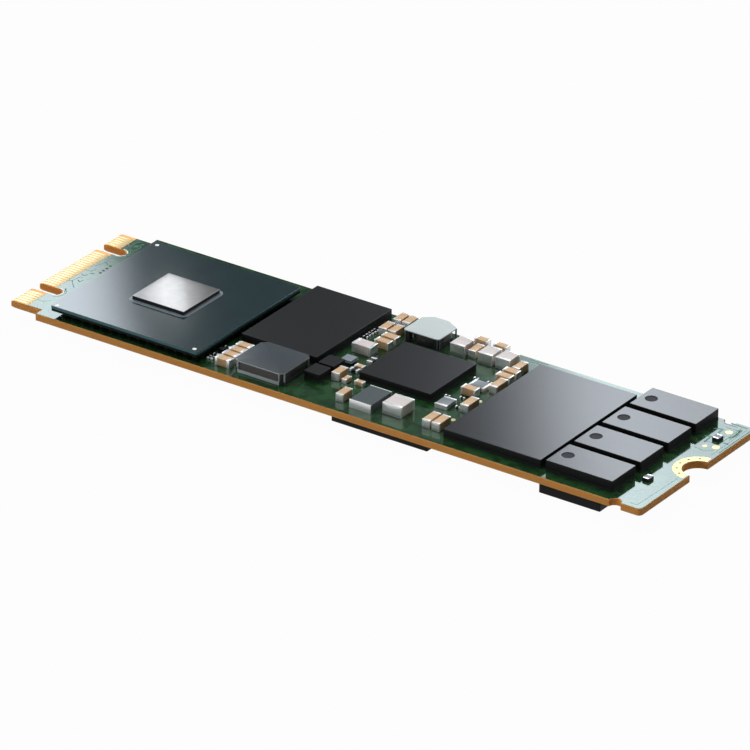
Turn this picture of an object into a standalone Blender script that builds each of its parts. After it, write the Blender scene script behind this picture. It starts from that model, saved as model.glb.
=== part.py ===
"""Gumstick solid state drive: a keyed 22 x 80 mm circuit board with its packages on both sides.

Metres, +Z up. +X runs from the edge connector to the screw end, +Y to the far long edge. The origin
is the middle of the footprint, level with the lowest faces of the underside packages.
"""

import math
from dataclasses import dataclass

import bmesh
import bpy
from mathutils import Matrix, Vector

# Edge connector: three tabs of gold fingers, parted by two round-ended key slots.
FINGER_PITCH = 0.0005
FINGER_WIDTH = 0.00035
FINGER_LENGTH = 0.00145
NEAR_TAB_FINGERS = 6
MIDDLE_TAB_FINGERS = 19
FAR_TAB_FINGERS = 5
TAB_MARGIN = 0.000375
KEY_WIDTH = 0.0015
KEY_DEPTH = 0.00335
TONGUE_LENGTH = 0.004
TONGUE_SHOULDER = 0.0011
TIP_BEVEL_RUN = 0.00045
TIP_BEVEL_DROP = 0.00025

# Board blank, its copper and the screw seat cut into its end.
BOARD_THICKNESS = 0.0008
COPPER_RELIEF = 0.00003
COPPER_PULLBACK = 0.00005
SEAT_RADIUS = 0.00175
SEAT_RING_WIDTH = 0.001
SEAT_CLEARANCE = 0.00165
SEAT_VIA_RADIUS = 0.00012
SEAT_VIA_INSET = 0.0006
SEAT_VIA_COUNT = 5
SEAT_VIA_STEP = math.radians(30.0)
CORNER_RADIUS = 0.0005
EDGE_NOTCH_RADIUS = 0.0007
EDGE_NOTCH_INSET = 0.0031
PAD_RADIUS = 0.00042
SMALL_PAD_RADIUS = 0.0003

# Gaps that hold for every part on the board.
SOLDER_FILM = 0.00002
ROW_CLEARANCE = 0.0001
EDGE_BREAK = 0.00006

# Controller: a bare die on a laminate carrier that stands on solder balls.
CONTROLLER_SIDE = 0.019
CARRIER_THICKNESS = 0.0006
BALL_HEIGHT = 0.00065
BALL_RADIUS = 0.0003
BALL_FOOT_RADIUS = 0.00021
BALL_EMBED = 0.0001
BALL_PITCH = 0.0012
BALL_MARGIN = 0.0011
BALL_RING_ROWS = 2
BALL_CORE_ROWS = 3
DIE_LENGTH = 0.00665
DIE_WIDTH = 0.0066
DIE_THICKNESS = 0.00045
DIE_EDGE_BREAK = 0.00003
UNDERFILL_RUN = 0.0006
UNDERFILL_HEIGHT = 0.0003
UNDERFILL_SAG_RUN = 0.0002
UNDERFILL_SAG_HEIGHT = 0.00012
UNDERFILL_LIP = 0.0001
UNDERFILL_CLEARANCE = 0.00002

# Moulded packages: a thin carrier under a slightly smaller moulding.
CARRIER_SLAB = 0.0002
MOULD_INSET = 0.00003
MOULD_CORNER = 0.00012
MEMORY_LENGTH = 0.01405
MEMORY_WIDTH = 0.00965
MEMORY_HEIGHT = 0.001
POWER_CHIP_LENGTH = 0.009
POWER_CHIP_WIDTH = 0.00865
POWER_CHIP_HEIGHT = 0.0009
STORAGE_LENGTH = 0.01825
STORAGE_WIDTH = 0.01205
STORAGE_HEIGHT = 0.001
RESERVE_LENGTH = 0.0082
RESERVE_WIDTH = 0.00445
RESERVE_HEIGHT = 0.0012
RESERVE_COUNT = 4
RESERVE_SPACING = 0.0008
UNDER_RESERVE_LENGTH = 0.0075
UNDER_RESERVE_SHIFT = 0.00117
MARK_RADIUS = 0.00065
MARK_INSET = 0.0013
MARK_DEPTH = 0.00005
REGULATOR_LENGTH = 0.0022
REGULATOR_WIDTH = 0.002
REGULATOR_HEIGHT = 0.0009
LOGIC_SIDE = 0.0007
LOGIC_HEIGHT = 0.00045
CRYSTAL_SIDE = 0.0015
CRYSTAL_HEIGHT = 0.0005
CRYSTAL_BASE = 0.0002
CRYSTAL_LID_INSET = 0.00012

# Inductors: a ferrite core with corner posts, wound between its two flanges.
CHOKE_LENGTH = 0.0062
CHOKE_WIDTH = 0.00545
CHOKE_NEAR_CORNER = 0.00045
CHOKE_FAR_CORNER = 0.00065
CHOKE_POST = 0.0008
COIL_LENGTH = 0.0045
COIL_WIDTH = 0.0043
COIL_NEAR_CORNER = 0.0002
COIL_FAR_CORNER = 0.0013
COIL_POST = 0.0009
INDUCTOR_HEIGHT = 0.00135
LOWER_FLANGE = 0.00035
UPPER_FLANGE = 0.00022
WINDING_TURNS = 3
WINDING_CLEARANCE = 0.00003
WINDING_RECESS = 0.00035
WINDING_WIDTH = 0.0009

# Chip parts: a block between two metal bands.
BAND_STEP = 0.00002
CHIP_LENGTH = 0.00185
CHIP_WIDTH = 0.00095
CHIP_HEIGHT = 0.0009
CHIP_BAND = 0.0003
BULK_COUNT = 4
BULK_SPACING = 0.00025
SHORT_CHIP_LENGTH = 0.00165
SHORT_CHIP_WIDTH = 0.00085
LONG_CHIP_LENGTH = 0.0022
LONG_CHIP_WIDTH = 0.001
WIDE_CHIP_LENGTH = 0.002
WIDE_CHIP_WIDTH = 0.0018
WIDE_CHIP_HEIGHT = 0.00125
WIDE_CHIP_BAND = 0.0004
SLIM_CHIP_LENGTH = 0.0024
SLIM_CHIP_WIDTH = 0.00145
SLIM_CHIP_HEIGHT = 0.0011
BROAD_CHIP_LENGTH = 0.0025
BROAD_CHIP_WIDTH = 0.0024
FILTER_LENGTH = 0.004
FILTER_WIDTH = 0.0027
FILTER_HEIGHT = 0.00095
FILTER_BAND = 0.0006
SENSE_LENGTH = 0.002
SENSE_WIDTH = 0.0015
SENSE_HEIGHT = 0.0005
SENSE_BAND = 0.00035
SMALL_CHIP_LENGTH = 0.0011
SMALL_CHIP_WIDTH = 0.00062
SMALL_CHIP_HEIGHT = 0.0005
SMALL_CHIP_BAND = 0.00025
TINY_CHIP_LENGTH = 0.0006
TINY_CHIP_WIDTH = 0.0003
TINY_CHIP_HEIGHT = 0.00025
TINY_CHIP_COUNT = 5
TINY_CHIP_SPACING = 0.0002
TINY_RESISTOR_HEIGHT = 0.00035
END_CHIP_LENGTH = 0.001
END_CHIP_WIDTH = 0.00085
END_CHIP_HEIGHT = 0.0004

# Sides of the round forms.
ARC_SIDES = 14
BALL_SIDES = 6
VIA_SIDES = 8
RING_SIDES = 20
CORNER_SIDES = 2
TURN_SIDES = 4
SHARP_ANGLE = math.radians(30.0)


@dataclass
class Spot:
    """The rectangle that one part covers on the board, measured from the connector's tip."""

    left: float
    right: float
    near: float
    far: float

    @property
    def length(self):
        """Extent along X."""
        return self.right - self.left

    @property
    def depth(self):
        """Extent along Y."""
        return self.far - self.near

    @property
    def middle(self):
        """Centre of the rectangle."""
        return ((self.left + self.right) / 2, (self.near + self.far) / 2)


@dataclass
class Finish:
    """Colour and surface of one kind of part."""

    colour: tuple
    roughness: float
    metallic: float = 0.0


LAMINATE = Finish((0.04, 0.13, 0.06), 0.3)
CARRIER = Finish((0.03, 0.10, 0.11), 0.35)
SILICON = Finish((0.62, 0.65, 0.70), 0.12, 0.9)
EPOXY = Finish((0.35, 0.38, 0.40), 0.4)
MOULDING = Finish((0.03, 0.03, 0.032), 0.5)
PALE_MOULDING = Finish((0.30, 0.31, 0.34), 0.45)
CERAMIC = Finish((0.62, 0.45, 0.24), 0.5)
PALE_CERAMIC = Finish((0.60, 0.57, 0.57), 0.45)
GREY_CERAMIC = Finish((0.18, 0.20, 0.22), 0.45)
FERRITE = Finish((0.09, 0.12, 0.14), 0.4)
PALE_FERRITE = Finish((0.48, 0.55, 0.55), 0.4)
WIRE = Finish((0.03, 0.03, 0.035), 0.35, 0.2)
LID = Finish((0.35, 0.38, 0.42), 0.3, 0.8)


def tab_width(fingers):
    """Width of one connector tab that carries the given number of fingers."""
    return (fingers - 1) * FINGER_PITCH + FINGER_WIDTH + 2 * TAB_MARGIN


TONGUE_WIDTH = (
    tab_width(NEAR_TAB_FINGERS) + tab_width(MIDDLE_TAB_FINGERS) + tab_width(FAR_TAB_FINGERS) + 2 * KEY_WIDTH
)
BOARD_WIDTH = TONGUE_WIDTH + 2 * TONGUE_SHOULDER
FAR_EDGE = BOARD_WIDTH / 2
UNDER_DEPTH = max(RESERVE_HEIGHT, STORAGE_HEIGHT) + SOLDER_FILM
BOARD_BOTTOM = UNDER_DEPTH
BOARD_TOP = BOARD_BOTTOM + BOARD_THICKNESS
SEAT_TOP = BOARD_TOP + SOLDER_FILM
SEAT_BOTTOM = BOARD_BOTTOM - SOLDER_FILM


@dataclass(frozen=True)
class Place:
    """How a part is set down: its drop below a reference line, and its gap past what lies before it."""

    drop: float
    gap: float


@dataclass(frozen=True)
class Pad:
    """A round probe pad: how far along X and along Y it stands off its reference, and its radius."""

    along: float
    across: float
    radius: float


@dataclass(frozen=True)
class EndChip:
    """A chip by the screw end: how far its middle stands in from the end, and across from the middle line."""

    along: float
    across: float


UPPER_END_CHIP = EndChip(along=0.002, across=0.0067)
LOWER_END_CHIP = EndChip(along=0.00295, across=-0.00505)

CORNER_PADS = (
    Pad(along=0.0019, across=UPPER_END_CHIP.across + 0.002, radius=PAD_RADIUS),
    Pad(along=0.0023, across=UPPER_END_CHIP.across - 0.002, radius=SMALL_PAD_RADIUS),
    Pad(along=0.0012, across=UPPER_END_CHIP.across - 0.0016, radius=PAD_RADIUS),
)
RAIL_PAD = Pad(along=0.0018, across=0.0009, radius=SMALL_PAD_RADIUS)
SENSE_PAD = Pad(along=0.0016, across=0.0018, radius=SMALL_PAD_RADIUS)

PLACES = {
    "controller_carrier": Place(drop=0.00255, gap=0.0016),
    "memory_package": Place(drop=0.0007, gap=0.0008),
    "logic_chip": Place(drop=0.01745, gap=0.0002),
    "tiny_logic_1": Place(drop=-0.0008, gap=0.0002),
    "tiny_logic_2": Place(drop=0.0013, gap=0.0002),
    "tiny_logic_3": Place(drop=0.00205, gap=0.00015),
    "tiny_logic_4": Place(drop=0.00205, gap=0.00015),
    "bulk_capacitor": Place(drop=0.01595, gap=0.0007),
    "large_inductor_core": Place(drop=0.01525, gap=0.0006),
    "strip_capacitor_1": Place(drop=0.0005, gap=0.00115),
    "strip_capacitor_2": Place(drop=0.0, gap=0.0002),
    "tiny_strip": Place(drop=0.0019, gap=0.00015),
    "strip_capacitor_3": Place(drop=0.0007, gap=0.0003),
    "strip_capacitor_4": Place(drop=0.0, gap=0.00025),
    "strip_capacitor_5": Place(drop=0.0004, gap=0.00155),
    "strip_capacitor_6": Place(drop=0.00035, gap=0.00155),
    "slim_capacitor": Place(drop=0.00085, gap=0.00105),
    "clock_crystal": Place(drop=0.00135, gap=0.00145),
    "tiny_resistor_1": Place(drop=0.00025, gap=0.0009),
    "regulator_1": Place(drop=0.0004, gap=0.00055),
    "regulator_2": Place(drop=0.0003, gap=0.00045),
    "small_capacitor_1": Place(drop=0.0012, gap=0.0006),
    "tiny_resistor_2": Place(drop=0.00012, gap=0.00085),
    "strip_capacitor_7": Place(drop=0.0014, gap=0.0004),
    "small_inductor_core": Place(drop=0.0002, gap=0.0007),
    "power_chip": Place(drop=0.0015, gap=0.0006),
    "small_capacitor_2": Place(drop=0.00065, gap=0.00035),
    "small_capacitor_3": Place(drop=0.00075, gap=0.00073),
    "edge_capacitor_1": Place(drop=0.0022, gap=0.0008),
    "input_filter": Place(drop=0.00185, gap=0.00105),
    "broad_capacitor": Place(drop=0.0024, gap=0.0008),
    "edge_capacitor_2": Place(drop=0.0003, gap=0.0022),
    "edge_capacitor_3": Place(drop=0.0, gap=0.00075),
    "wide_capacitor_1": Place(drop=0.0009, gap=0.0011),
    "edge_capacitor_4": Place(drop=0.00075, gap=0.00025),
    "wide_capacitor_2": Place(drop=0.001, gap=0.00055),
    "wide_capacitor_3": Place(drop=0.0009, gap=0.00035),
    "rail_capacitor_1": Place(drop=0.00255, gap=0.0005),
    "rail_capacitor_2": Place(drop=0.00015, gap=0.0028),
    "rail_capacitor_3": Place(drop=0.00035, gap=0.0028),
    "tiny_rail_1": Place(drop=0.00065, gap=0.0007),
    "tiny_rail_2": Place(drop=0.00065, gap=0.0011),
    "sense_resistor_1": Place(drop=0.0014, gap=0.00135),
    "rail_capacitor_4": Place(drop=0.0003, gap=0.00035),
    "rail_capacitor_5": Place(drop=0.00065, gap=0.0015),
    "tiny_rail_3": Place(drop=0.00065, gap=0.002),
    "tiny_rail_4": Place(drop=0.0012, gap=0.0005),
    "sense_resistor_2": Place(drop=0.002, gap=0.00095),
    "tiny_rail_5": Place(drop=0.00265, gap=0.00035),
    "rail_capacitor_6": Place(drop=0.0011, gap=0.00025),
    "rail_capacitor_7": Place(drop=0.0022, gap=0.00235),
    "rail_capacitor_8": Place(drop=0.0, gap=0.0002),
    "storage_package": Place(drop=0.00225, gap=0.0008),
    "reserve_capacitor": Place(drop=0.00028, gap=0.00055),
    "under_capacitor": Place(drop=0.0158, gap=0.011),
    "under_storage_package": Place(drop=0.0007, gap=0.00103),
}

# Outlines, along X and then along Y.
LOGIC = (LOGIC_SIDE, LOGIC_SIDE)
TINY = (TINY_CHIP_LENGTH, TINY_CHIP_WIDTH)
SMALL = (SMALL_CHIP_LENGTH, SMALL_CHIP_WIDTH)
SMALL_UPRIGHT = SMALL[::-1]
CHIP = (CHIP_LENGTH, CHIP_WIDTH)
CHIP_UPRIGHT = CHIP[::-1]
SHORT_CHIP = (SHORT_CHIP_LENGTH, SHORT_CHIP_WIDTH)
LONG_UPRIGHT = (LONG_CHIP_WIDTH, LONG_CHIP_LENGTH)
WIDE_UPRIGHT = (WIDE_CHIP_WIDTH, WIDE_CHIP_LENGTH)
SENSE = (SENSE_LENGTH, SENSE_WIDTH)
REGULATOR = (REGULATOR_WIDTH, REGULATOR_LENGTH)
RESERVE = (RESERVE_LENGTH, RESERVE_WIDTH)


class Layout:
    """Parts set down from the connector toward the screw end, each clear of those before it."""

    def __init__(self):
        self.spots = {}

    def put(self, name, size, below, line=TONGUE_LENGTH, place=None):
        """Set a part down by its place: below a reference, past the line and past all in its rows."""
        place = place or PLACES[name]
        length, depth = size
        far = below - place.drop
        near = far - depth
        left = line
        for spot in self.spots.values():
            if spot.near < far + ROW_CLEARANCE and near < spot.far + ROW_CLEARANCE:
                left = max(left, spot.right)
        left += place.gap
        self.spots[name] = Spot(left, left + length, near, far)
        return self.spots[name]

    def put_row(self, kind, count, size, below, line, spacing):
        """Set down like parts one below another, a spacing apart."""
        place = PLACES[kind]
        for index in range(count):
            spot = self.put(f"{kind}_{index + 1}", size, below, line, place)
            below = spot.near
            place = Place(spacing, place.gap)
        return spot

    def reach(self):
        """The right side of whatever lies nearest the screw end."""
        return max(spot.right for spot in self.spots.values())


def lay_memory_zone(layout):
    """The controller, the memory, and the parts that stand between and below them."""
    carrier = (CONTROLLER_SIDE, CONTROLLER_SIDE)
    controller = layout.put("controller_carrier", carrier, FAR_EDGE)
    line = controller.right
    memory = layout.put("memory_package", (MEMORY_WIDTH, MEMORY_LENGTH), FAR_EDGE, line)
    logic = layout.put("logic_chip", LOGIC, FAR_EDGE, line)
    layout.put("tiny_logic_1", TINY, logic.far, line)
    layout.put("tiny_logic_2", TINY, logic.far, line)
    layout.put("tiny_logic_3", TINY[::-1], logic.far, line)
    layout.put("tiny_logic_4", TINY[::-1], logic.far, line)
    bulk = (CHIP_LENGTH, LONG_CHIP_WIDTH)
    row = layout.put_row("bulk_capacitor", BULK_COUNT, bulk, FAR_EDGE, logic.right, BULK_SPACING)
    layout.put("large_inductor_core", (CHOKE_LENGTH, CHOKE_WIDTH), FAR_EDGE, row.right)
    return memory


def lay_passive_zone(layout, memory):
    """The capacitors, crystal and regulators in the strip between the memory and the power chip."""
    line = max(memory.right, layout.spots["large_inductor_core"].right)
    pair = layout.put("strip_capacitor_1", CHIP_UPRIGHT, FAR_EDGE, line)
    layout.put("strip_capacitor_2", CHIP_UPRIGHT, pair.far)
    tiny = layout.put_row("tiny_strip", TINY_CHIP_COUNT, TINY, pair.near, line, TINY_CHIP_SPACING)
    pair = layout.put("strip_capacitor_3", CHIP_UPRIGHT, pair.near, tiny.right)
    layout.put("strip_capacitor_4", CHIP_UPRIGHT, pair.far)
    upper = layout.put("strip_capacitor_5", CHIP, pair.near, tiny.right)
    lower = layout.put("strip_capacitor_6", CHIP, upper.near, tiny.right)
    slim = layout.put("slim_capacitor", (SLIM_CHIP_LENGTH, SLIM_CHIP_WIDTH), lower.near, line)
    crystal = layout.put("clock_crystal", (CRYSTAL_SIDE, CRYSTAL_SIDE), slim.near, line)
    layout.put("tiny_resistor_1", SMALL_UPRIGHT, slim.near, crystal.right)
    first = layout.put("regulator_1", REGULATOR, crystal.near, line)
    second = layout.put("regulator_2", REGULATOR, first.near, line)
    upper = layout.put("small_capacitor_1", SMALL, crystal.far, crystal.right)
    layout.put("tiny_resistor_2", SMALL, upper.near, first.right)
    return layout.put("strip_capacitor_7", CHIP_UPRIGHT, first.far, max(first.right, second.right))


def lay_power_zone(layout, post):
    """The light inductor, the power chip and what stands round it."""
    line = layout.spots["strip_capacitor_2"].right
    coil = layout.put("small_inductor_core", (COIL_LENGTH, COIL_WIDTH), FAR_EDGE, line)
    chip = layout.put("power_chip", (POWER_CHIP_LENGTH, POWER_CHIP_WIDTH), coil.near)
    side = layout.put("small_capacitor_2", SMALL_UPRIGHT, chip.near, post.right)
    low = layout.put("small_capacitor_3", SMALL, chip.near, side.right)
    stub = layout.put("edge_capacitor_1", CHIP_UPRIGHT, low.near, chip.left)
    block = layout.put("input_filter", (FILTER_WIDTH, FILTER_LENGTH), chip.near, stub.right)
    layout.put("broad_capacitor", (BROAD_CHIP_WIDTH, BROAD_CHIP_LENGTH), chip.near, block.right)
    first = layout.put("edge_capacitor_2", SHORT_CHIP, FAR_EDGE, coil.right)
    second = layout.put("edge_capacitor_3", SHORT_CHIP, first.far)
    layout.put("wide_capacitor_1", WIDE_UPRIGHT, first.near, coil.right)
    layout.put("edge_capacitor_4", CHIP_UPRIGHT, first.near)
    layout.put("wide_capacitor_2", WIDE_UPRIGHT, second.near)
    layout.put("wide_capacitor_3", WIDE_UPRIGHT, second.near)
    return chip


def lay_rail_zone(layout, chip):
    """The capacitors and sense resistors between the power chip and the storage package."""
    line = chip.right
    top = layout.put("rail_capacitor_1", CHIP_UPRIGHT, FAR_EDGE, line)
    second = layout.put("rail_capacitor_2", CHIP, top.near, line)
    third = layout.put("rail_capacitor_3", CHIP, second.near, line)
    layout.put("tiny_rail_1", TINY, third.near, line)
    layout.put("tiny_rail_2", TINY, third.near, line)
    sense = layout.put("sense_resistor_1", SENSE, third.near, line)
    layout.put("rail_capacitor_4", LONG_UPRIGHT, third.near, sense.right)
    fifth = layout.put("rail_capacitor_5", CHIP, sense.near, line)
    layout.put("tiny_rail_3", TINY, fifth.near, line)
    layout.put("tiny_rail_4", TINY, fifth.near, line)
    lower = layout.put("sense_resistor_2", SENSE[::-1], fifth.near, line)
    tiny = layout.put("tiny_rail_5", TINY, fifth.near, lower.right)
    layout.put("rail_capacitor_6", LONG_UPRIGHT, fifth.near, tiny.right)
    seventh = layout.put("rail_capacitor_7", LONG_UPRIGHT, lower.near, line)
    layout.put("rail_capacitor_8", LONG_UPRIGHT, seventh.far)


def lay_top():
    """Every part on the top side."""
    layout = Layout()
    memory = lay_memory_zone(layout)
    post = lay_passive_zone(layout, memory)
    chip = lay_power_zone(layout, post)
    lay_rail_zone(layout, chip)
    layout.put("storage_package", (STORAGE_WIDTH, STORAGE_LENGTH), FAR_EDGE, layout.reach())
    layout.put_row("reserve_capacitor", RESERVE_COUNT, RESERVE, FAR_EDGE, layout.reach(), RESERVE_SPACING)
    return layout


def lay_underside(top):
    """Every part on the underside, tied to the parts above it."""
    layout = Layout()
    controller, storage = top.spots["controller_carrier"], top.spots["storage_package"]
    layout.put("under_capacitor", CHIP_UPRIGHT, controller.far, controller.left)
    outline = (STORAGE_WIDTH, STORAGE_LENGTH)
    layout.put("under_storage_package", outline, storage.far, top.spots["power_chip"].left)
    for index in range(RESERVE_COUNT):
        above = top.spots[f"reserve_capacitor_{index + 1}"]
        near, far = above.near - UNDER_RESERVE_SHIFT, above.far - UNDER_RESERVE_SHIFT
        spot = Spot(above.left, above.left + UNDER_RESERVE_LENGTH, near, far)
        layout.spots[f"under_reserve_{index + 1}"] = spot
    return layout


TOP = lay_top()
UNDERSIDE = lay_underside(TOP)
BOARD_LENGTH = TOP.reach() + SEAT_CLEARANCE + SEAT_RING_WIDTH + SEAT_RADIUS
CENTRE = BOARD_LENGTH / 2


def clear_scene():
    """Remove the objects that the scene starts with."""
    for item in list(bpy.data.objects):
        bpy.data.objects.remove(item, do_unlink=True)


def make_material(name, finish):
    """A Principled material of one part's colour, roughness and metal."""
    material = bpy.data.materials.new(name)
    material.use_nodes = True
    shader = material.node_tree.nodes["Principled BSDF"]
    shader.inputs["Base Color"].default_value = (*finish.colour, 1.0)
    shader.inputs["Roughness"].default_value = finish.roughness
    shader.inputs["Metallic"].default_value = finish.metallic
    return material


def add_object(name, mesh, finish, smooth=False):
    """Put a finished mesh into the scene under its part's name."""
    item = bpy.data.objects.new(name, mesh)
    bpy.context.scene.collection.objects.link(item)
    mesh.materials.clear()
    mesh.materials.append(make_material(name, finish))
    if smooth:
        mesh.shade_smooth()
        mesh.set_sharp_from_angle(angle=SHARP_ANGLE)
    return item


def loft(rings):
    """A closed skin through rings of equal point count, capped at both ends."""
    shape = bmesh.new()
    loops = [[shape.verts.new(point) for point in ring] for ring in rings]
    count = len(loops[0])
    for lower, upper in zip(loops, loops[1:]):
        for index in range(count):
            after = (index + 1) % count
            shape.faces.new((lower[index], lower[after], upper[after], upper[index]))
    shape.faces.new(reversed(loops[0]))
    shape.faces.new(loops[-1])
    bmesh.ops.recalc_face_normals(shape, faces=shape.faces)
    return shape


def to_mesh(shape, name="form"):
    """Turn a bmesh into a mesh and free it."""
    mesh = bpy.data.meshes.new(name)
    shape.to_mesh(mesh)
    shape.free()
    return mesh


def prism(outline, bottom, top):
    """An outline drawn straight up from bottom to top."""
    return to_mesh(loft([[(x, y, level) for x, y in outline] for level in (bottom, top)]))


def arc(centre, radius, start, end, sides=ARC_SIDES):
    """Points along an arc from one angle to another, both ends included."""
    turns = [start + (end - start) * step / sides for step in range(sides + 1)]
    return [(centre[0] + radius * math.cos(turn), centre[1] + radius * math.sin(turn)) for turn in turns]


def disc(centre, radius, sides):
    """A full circle's points."""
    return arc(centre, radius, 0.0, 2 * math.pi * (1 - 1 / sides), sides - 1)


def ellipse(centre, radius_x, radius_y, sides):
    """A full ellipse's points."""
    return [(centre[0] + x * radius_x, centre[1] + y * radius_y) for x, y in disc((0.0, 0.0), 1.0, sides)]


def block(left, right, near, far, bottom, top):
    """A plain rectangular block, for cutting and joining."""
    return prism([(left, near), (right, near), (right, far), (left, far)], bottom, top)


def joined(meshes):
    """Several separate meshes held in one."""
    shape = bmesh.new()
    for mesh in meshes:
        shape.from_mesh(mesh)
        bpy.data.meshes.remove(mesh)
    return to_mesh(shape)


def combine(base, tool, operation):
    """The exact union or difference of two closed meshes."""
    body = bpy.data.objects.new("body", base)
    cutter = bpy.data.objects.new("cutter", tool)
    for item in (body, cutter):
        bpy.context.scene.collection.objects.link(item)
    modifier = body.modifiers.new("combine", "BOOLEAN")
    modifier.object = cutter
    modifier.operation = operation
    modifier.solver = "EXACT"
    bpy.context.view_layer.update()
    result = bpy.data.meshes.new_from_object(body.evaluated_get(bpy.context.evaluated_depsgraph_get()))
    for item in (body, cutter):
        mesh = item.data
        bpy.data.objects.remove(item, do_unlink=True)
        bpy.data.meshes.remove(mesh)
    return result


def tab_edges():
    """The near and far side of each connector tab, near tab first, with its finger count."""
    near = -TONGUE_WIDTH / 2
    edges = []
    for fingers in (NEAR_TAB_FINGERS, MIDDLE_TAB_FINGERS, FAR_TAB_FINGERS):
        far = near + tab_width(fingers)
        edges.append((near, far, fingers))
        near = far + KEY_WIDTH
    return edges


def board_outline():
    """The board's edge, run from the near tab round by the far side and back."""
    tip = -CENTRE
    end = BOARD_LENGTH - CENTRE
    shoulder = tip + TONGUE_LENGTH
    notch = end - EDGE_NOTCH_INSET
    half = BOARD_WIDTH / 2
    quarter = math.pi / 2
    points = []
    tabs = tab_edges()
    for index, (near, far, _) in enumerate(tabs):
        points += [(tip, near), (tip, far)]
        if index < len(tabs) - 1:
            slot = (tip + KEY_DEPTH - KEY_WIDTH / 2, far + KEY_WIDTH / 2)
            points += arc(slot, KEY_WIDTH / 2, -quarter, quarter)
    points += [(shoulder, TONGUE_WIDTH / 2), (shoulder, half)]
    points += arc((notch, half), EDGE_NOTCH_RADIUS, 2 * quarter, 4 * quarter)
    points += arc((end - CORNER_RADIUS, half - CORNER_RADIUS), CORNER_RADIUS, quarter, 0.0, ARC_SIDES // 4)
    points += arc((end, 0.0), SEAT_RADIUS, quarter, 3 * quarter, 2 * ARC_SIDES)
    points += arc((end - CORNER_RADIUS, CORNER_RADIUS - half), CORNER_RADIUS, 0.0, -quarter, ARC_SIDES // 4)
    points += arc((notch, -half), EDGE_NOTCH_RADIUS, 0.0, 2 * quarter)
    points += [(shoulder, -half), (shoulder, -TONGUE_WIDTH / 2)]
    return points


def tip_wedges():
    """Two long wedges that bevel the connector's leading edge, above and below."""
    tip = -CENTRE
    spare = TIP_BEVEL_RUN
    slope = TIP_BEVEL_DROP / TIP_BEVEL_RUN
    wedges = []
    for face, out in ((BOARD_TOP, 1.0), (BOARD_BOTTOM, -1.0)):
        corner = [
            (tip - spare, face - out * slope * (TIP_BEVEL_RUN + spare)),
            (tip + TIP_BEVEL_RUN + spare, face + out * slope * spare),
            (tip - spare, face + out * slope * spare),
        ]
        sides = [[(x, y, z) for x, z in corner] for y in (-BOARD_WIDTH, BOARD_WIDTH)]
        wedges.append(to_mesh(loft(sides)))
    return joined(wedges)


def copper_slab(outline, above):
    """A thin copper land that stands proud of the board's top or bottom face."""
    if above:
        return prism(outline, BOARD_TOP - COPPER_RELIEF, BOARD_TOP + COPPER_RELIEF)
    return prism(outline, BOARD_BOTTOM - COPPER_RELIEF, BOARD_BOTTOM + COPPER_RELIEF)


def finger_lands():
    """The gold fingers: full rows on top, and rows of one less, half a pitch along, underneath."""
    left = -CENTRE + TIP_BEVEL_RUN + COPPER_PULLBACK
    right = left + FINGER_LENGTH
    lands = []
    for near, _, fingers in tab_edges():
        start = near + TAB_MARGIN
        for above in (True, False):
            shift = 0.0 if above else FINGER_PITCH / 2
            for index in range(fingers if above else fingers - 1):
                low = start + shift + index * FINGER_PITCH
                high = low + FINGER_WIDTH
                outline = [(left, low), (right, low), (right, high), (left, high)]
                lands.append(copper_slab(outline, above))
    return lands


def seat_lands():
    """The half rings of bare copper that the screw head and the standoff bear on."""
    end = BOARD_LENGTH - CENTRE - COPPER_PULLBACK
    quarter = math.pi / 2
    outer = SEAT_RADIUS + SEAT_RING_WIDTH
    inner = SEAT_RADIUS + COPPER_PULLBACK
    lean = math.asin(COPPER_PULLBACK / outer)
    inner_lean = math.asin(COPPER_PULLBACK / inner)
    centre = (end + COPPER_PULLBACK, 0.0)
    outline = arc(centre, outer, quarter + lean, 3 * quarter - lean, 2 * ARC_SIDES)
    outline += arc(centre, inner, 3 * quarter - inner_lean, quarter + inner_lean, 2 * ARC_SIDES)
    return [copper_slab(outline, above) for above in (True, False)]


def test_lands():
    """Round probe pads in the free places between the parts."""
    rail = TOP.spots["rail_capacitor_7"]
    lower = TOP.spots["sense_resistor_2"]
    pads = [(BOARD_LENGTH - pad.along, pad.across, pad.radius) for pad in CORNER_PADS]
    pads.append((rail.left + RAIL_PAD.along, rail.far + RAIL_PAD.across, RAIL_PAD.radius))
    pads.append((lower.right + SENSE_PAD.along, lower.far + SENSE_PAD.across, SENSE_PAD.radius))
    return [copper_slab(disc((x - CENTRE, y), radius, ARC_SIDES), True) for x, y, radius in pads]


def seat_vias():
    """Small plated holes through the screw ring."""
    centre = (BOARD_LENGTH - CENTRE, 0.0)
    radius = SEAT_RADIUS + SEAT_VIA_INSET
    spare = 2 * COPPER_RELIEF
    vias = []
    for index in range(SEAT_VIA_COUNT):
        turn = math.pi + (index - (SEAT_VIA_COUNT - 1) / 2) * SEAT_VIA_STEP
        place = (centre[0] + radius * math.cos(turn), centre[1] + radius * math.sin(turn))
        vias.append(prism(disc(place, SEAT_VIA_RADIUS, VIA_SIDES), BOARD_BOTTOM - spare, BOARD_TOP + spare))
    return vias


def tiny_parts():
    """The smallest resistors, soldered down as one with the board."""
    parts = []
    for name, spot in TOP.spots.items():
        if name.startswith("tiny"):
            top = BOARD_TOP + (TINY_RESISTOR_HEIGHT if "resistor" in name else TINY_CHIP_HEIGHT)
            left, right = spot.left - CENTRE, spot.right - CENTRE
            parts.append(block(left, right, spot.near, spot.far, BOARD_TOP - COPPER_RELIEF, top))
    across, along = END_CHIP_LENGTH / 2, END_CHIP_WIDTH / 2
    for chip in (UPPER_END_CHIP, LOWER_END_CHIP):
        x, y = BOARD_LENGTH - chip.along - CENTRE, chip.across
        base, top = BOARD_TOP - COPPER_RELIEF, BOARD_TOP + END_CHIP_HEIGHT
        parts.append(block(x - along, x + along, y - across, y + across, base, top))
    return parts


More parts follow.
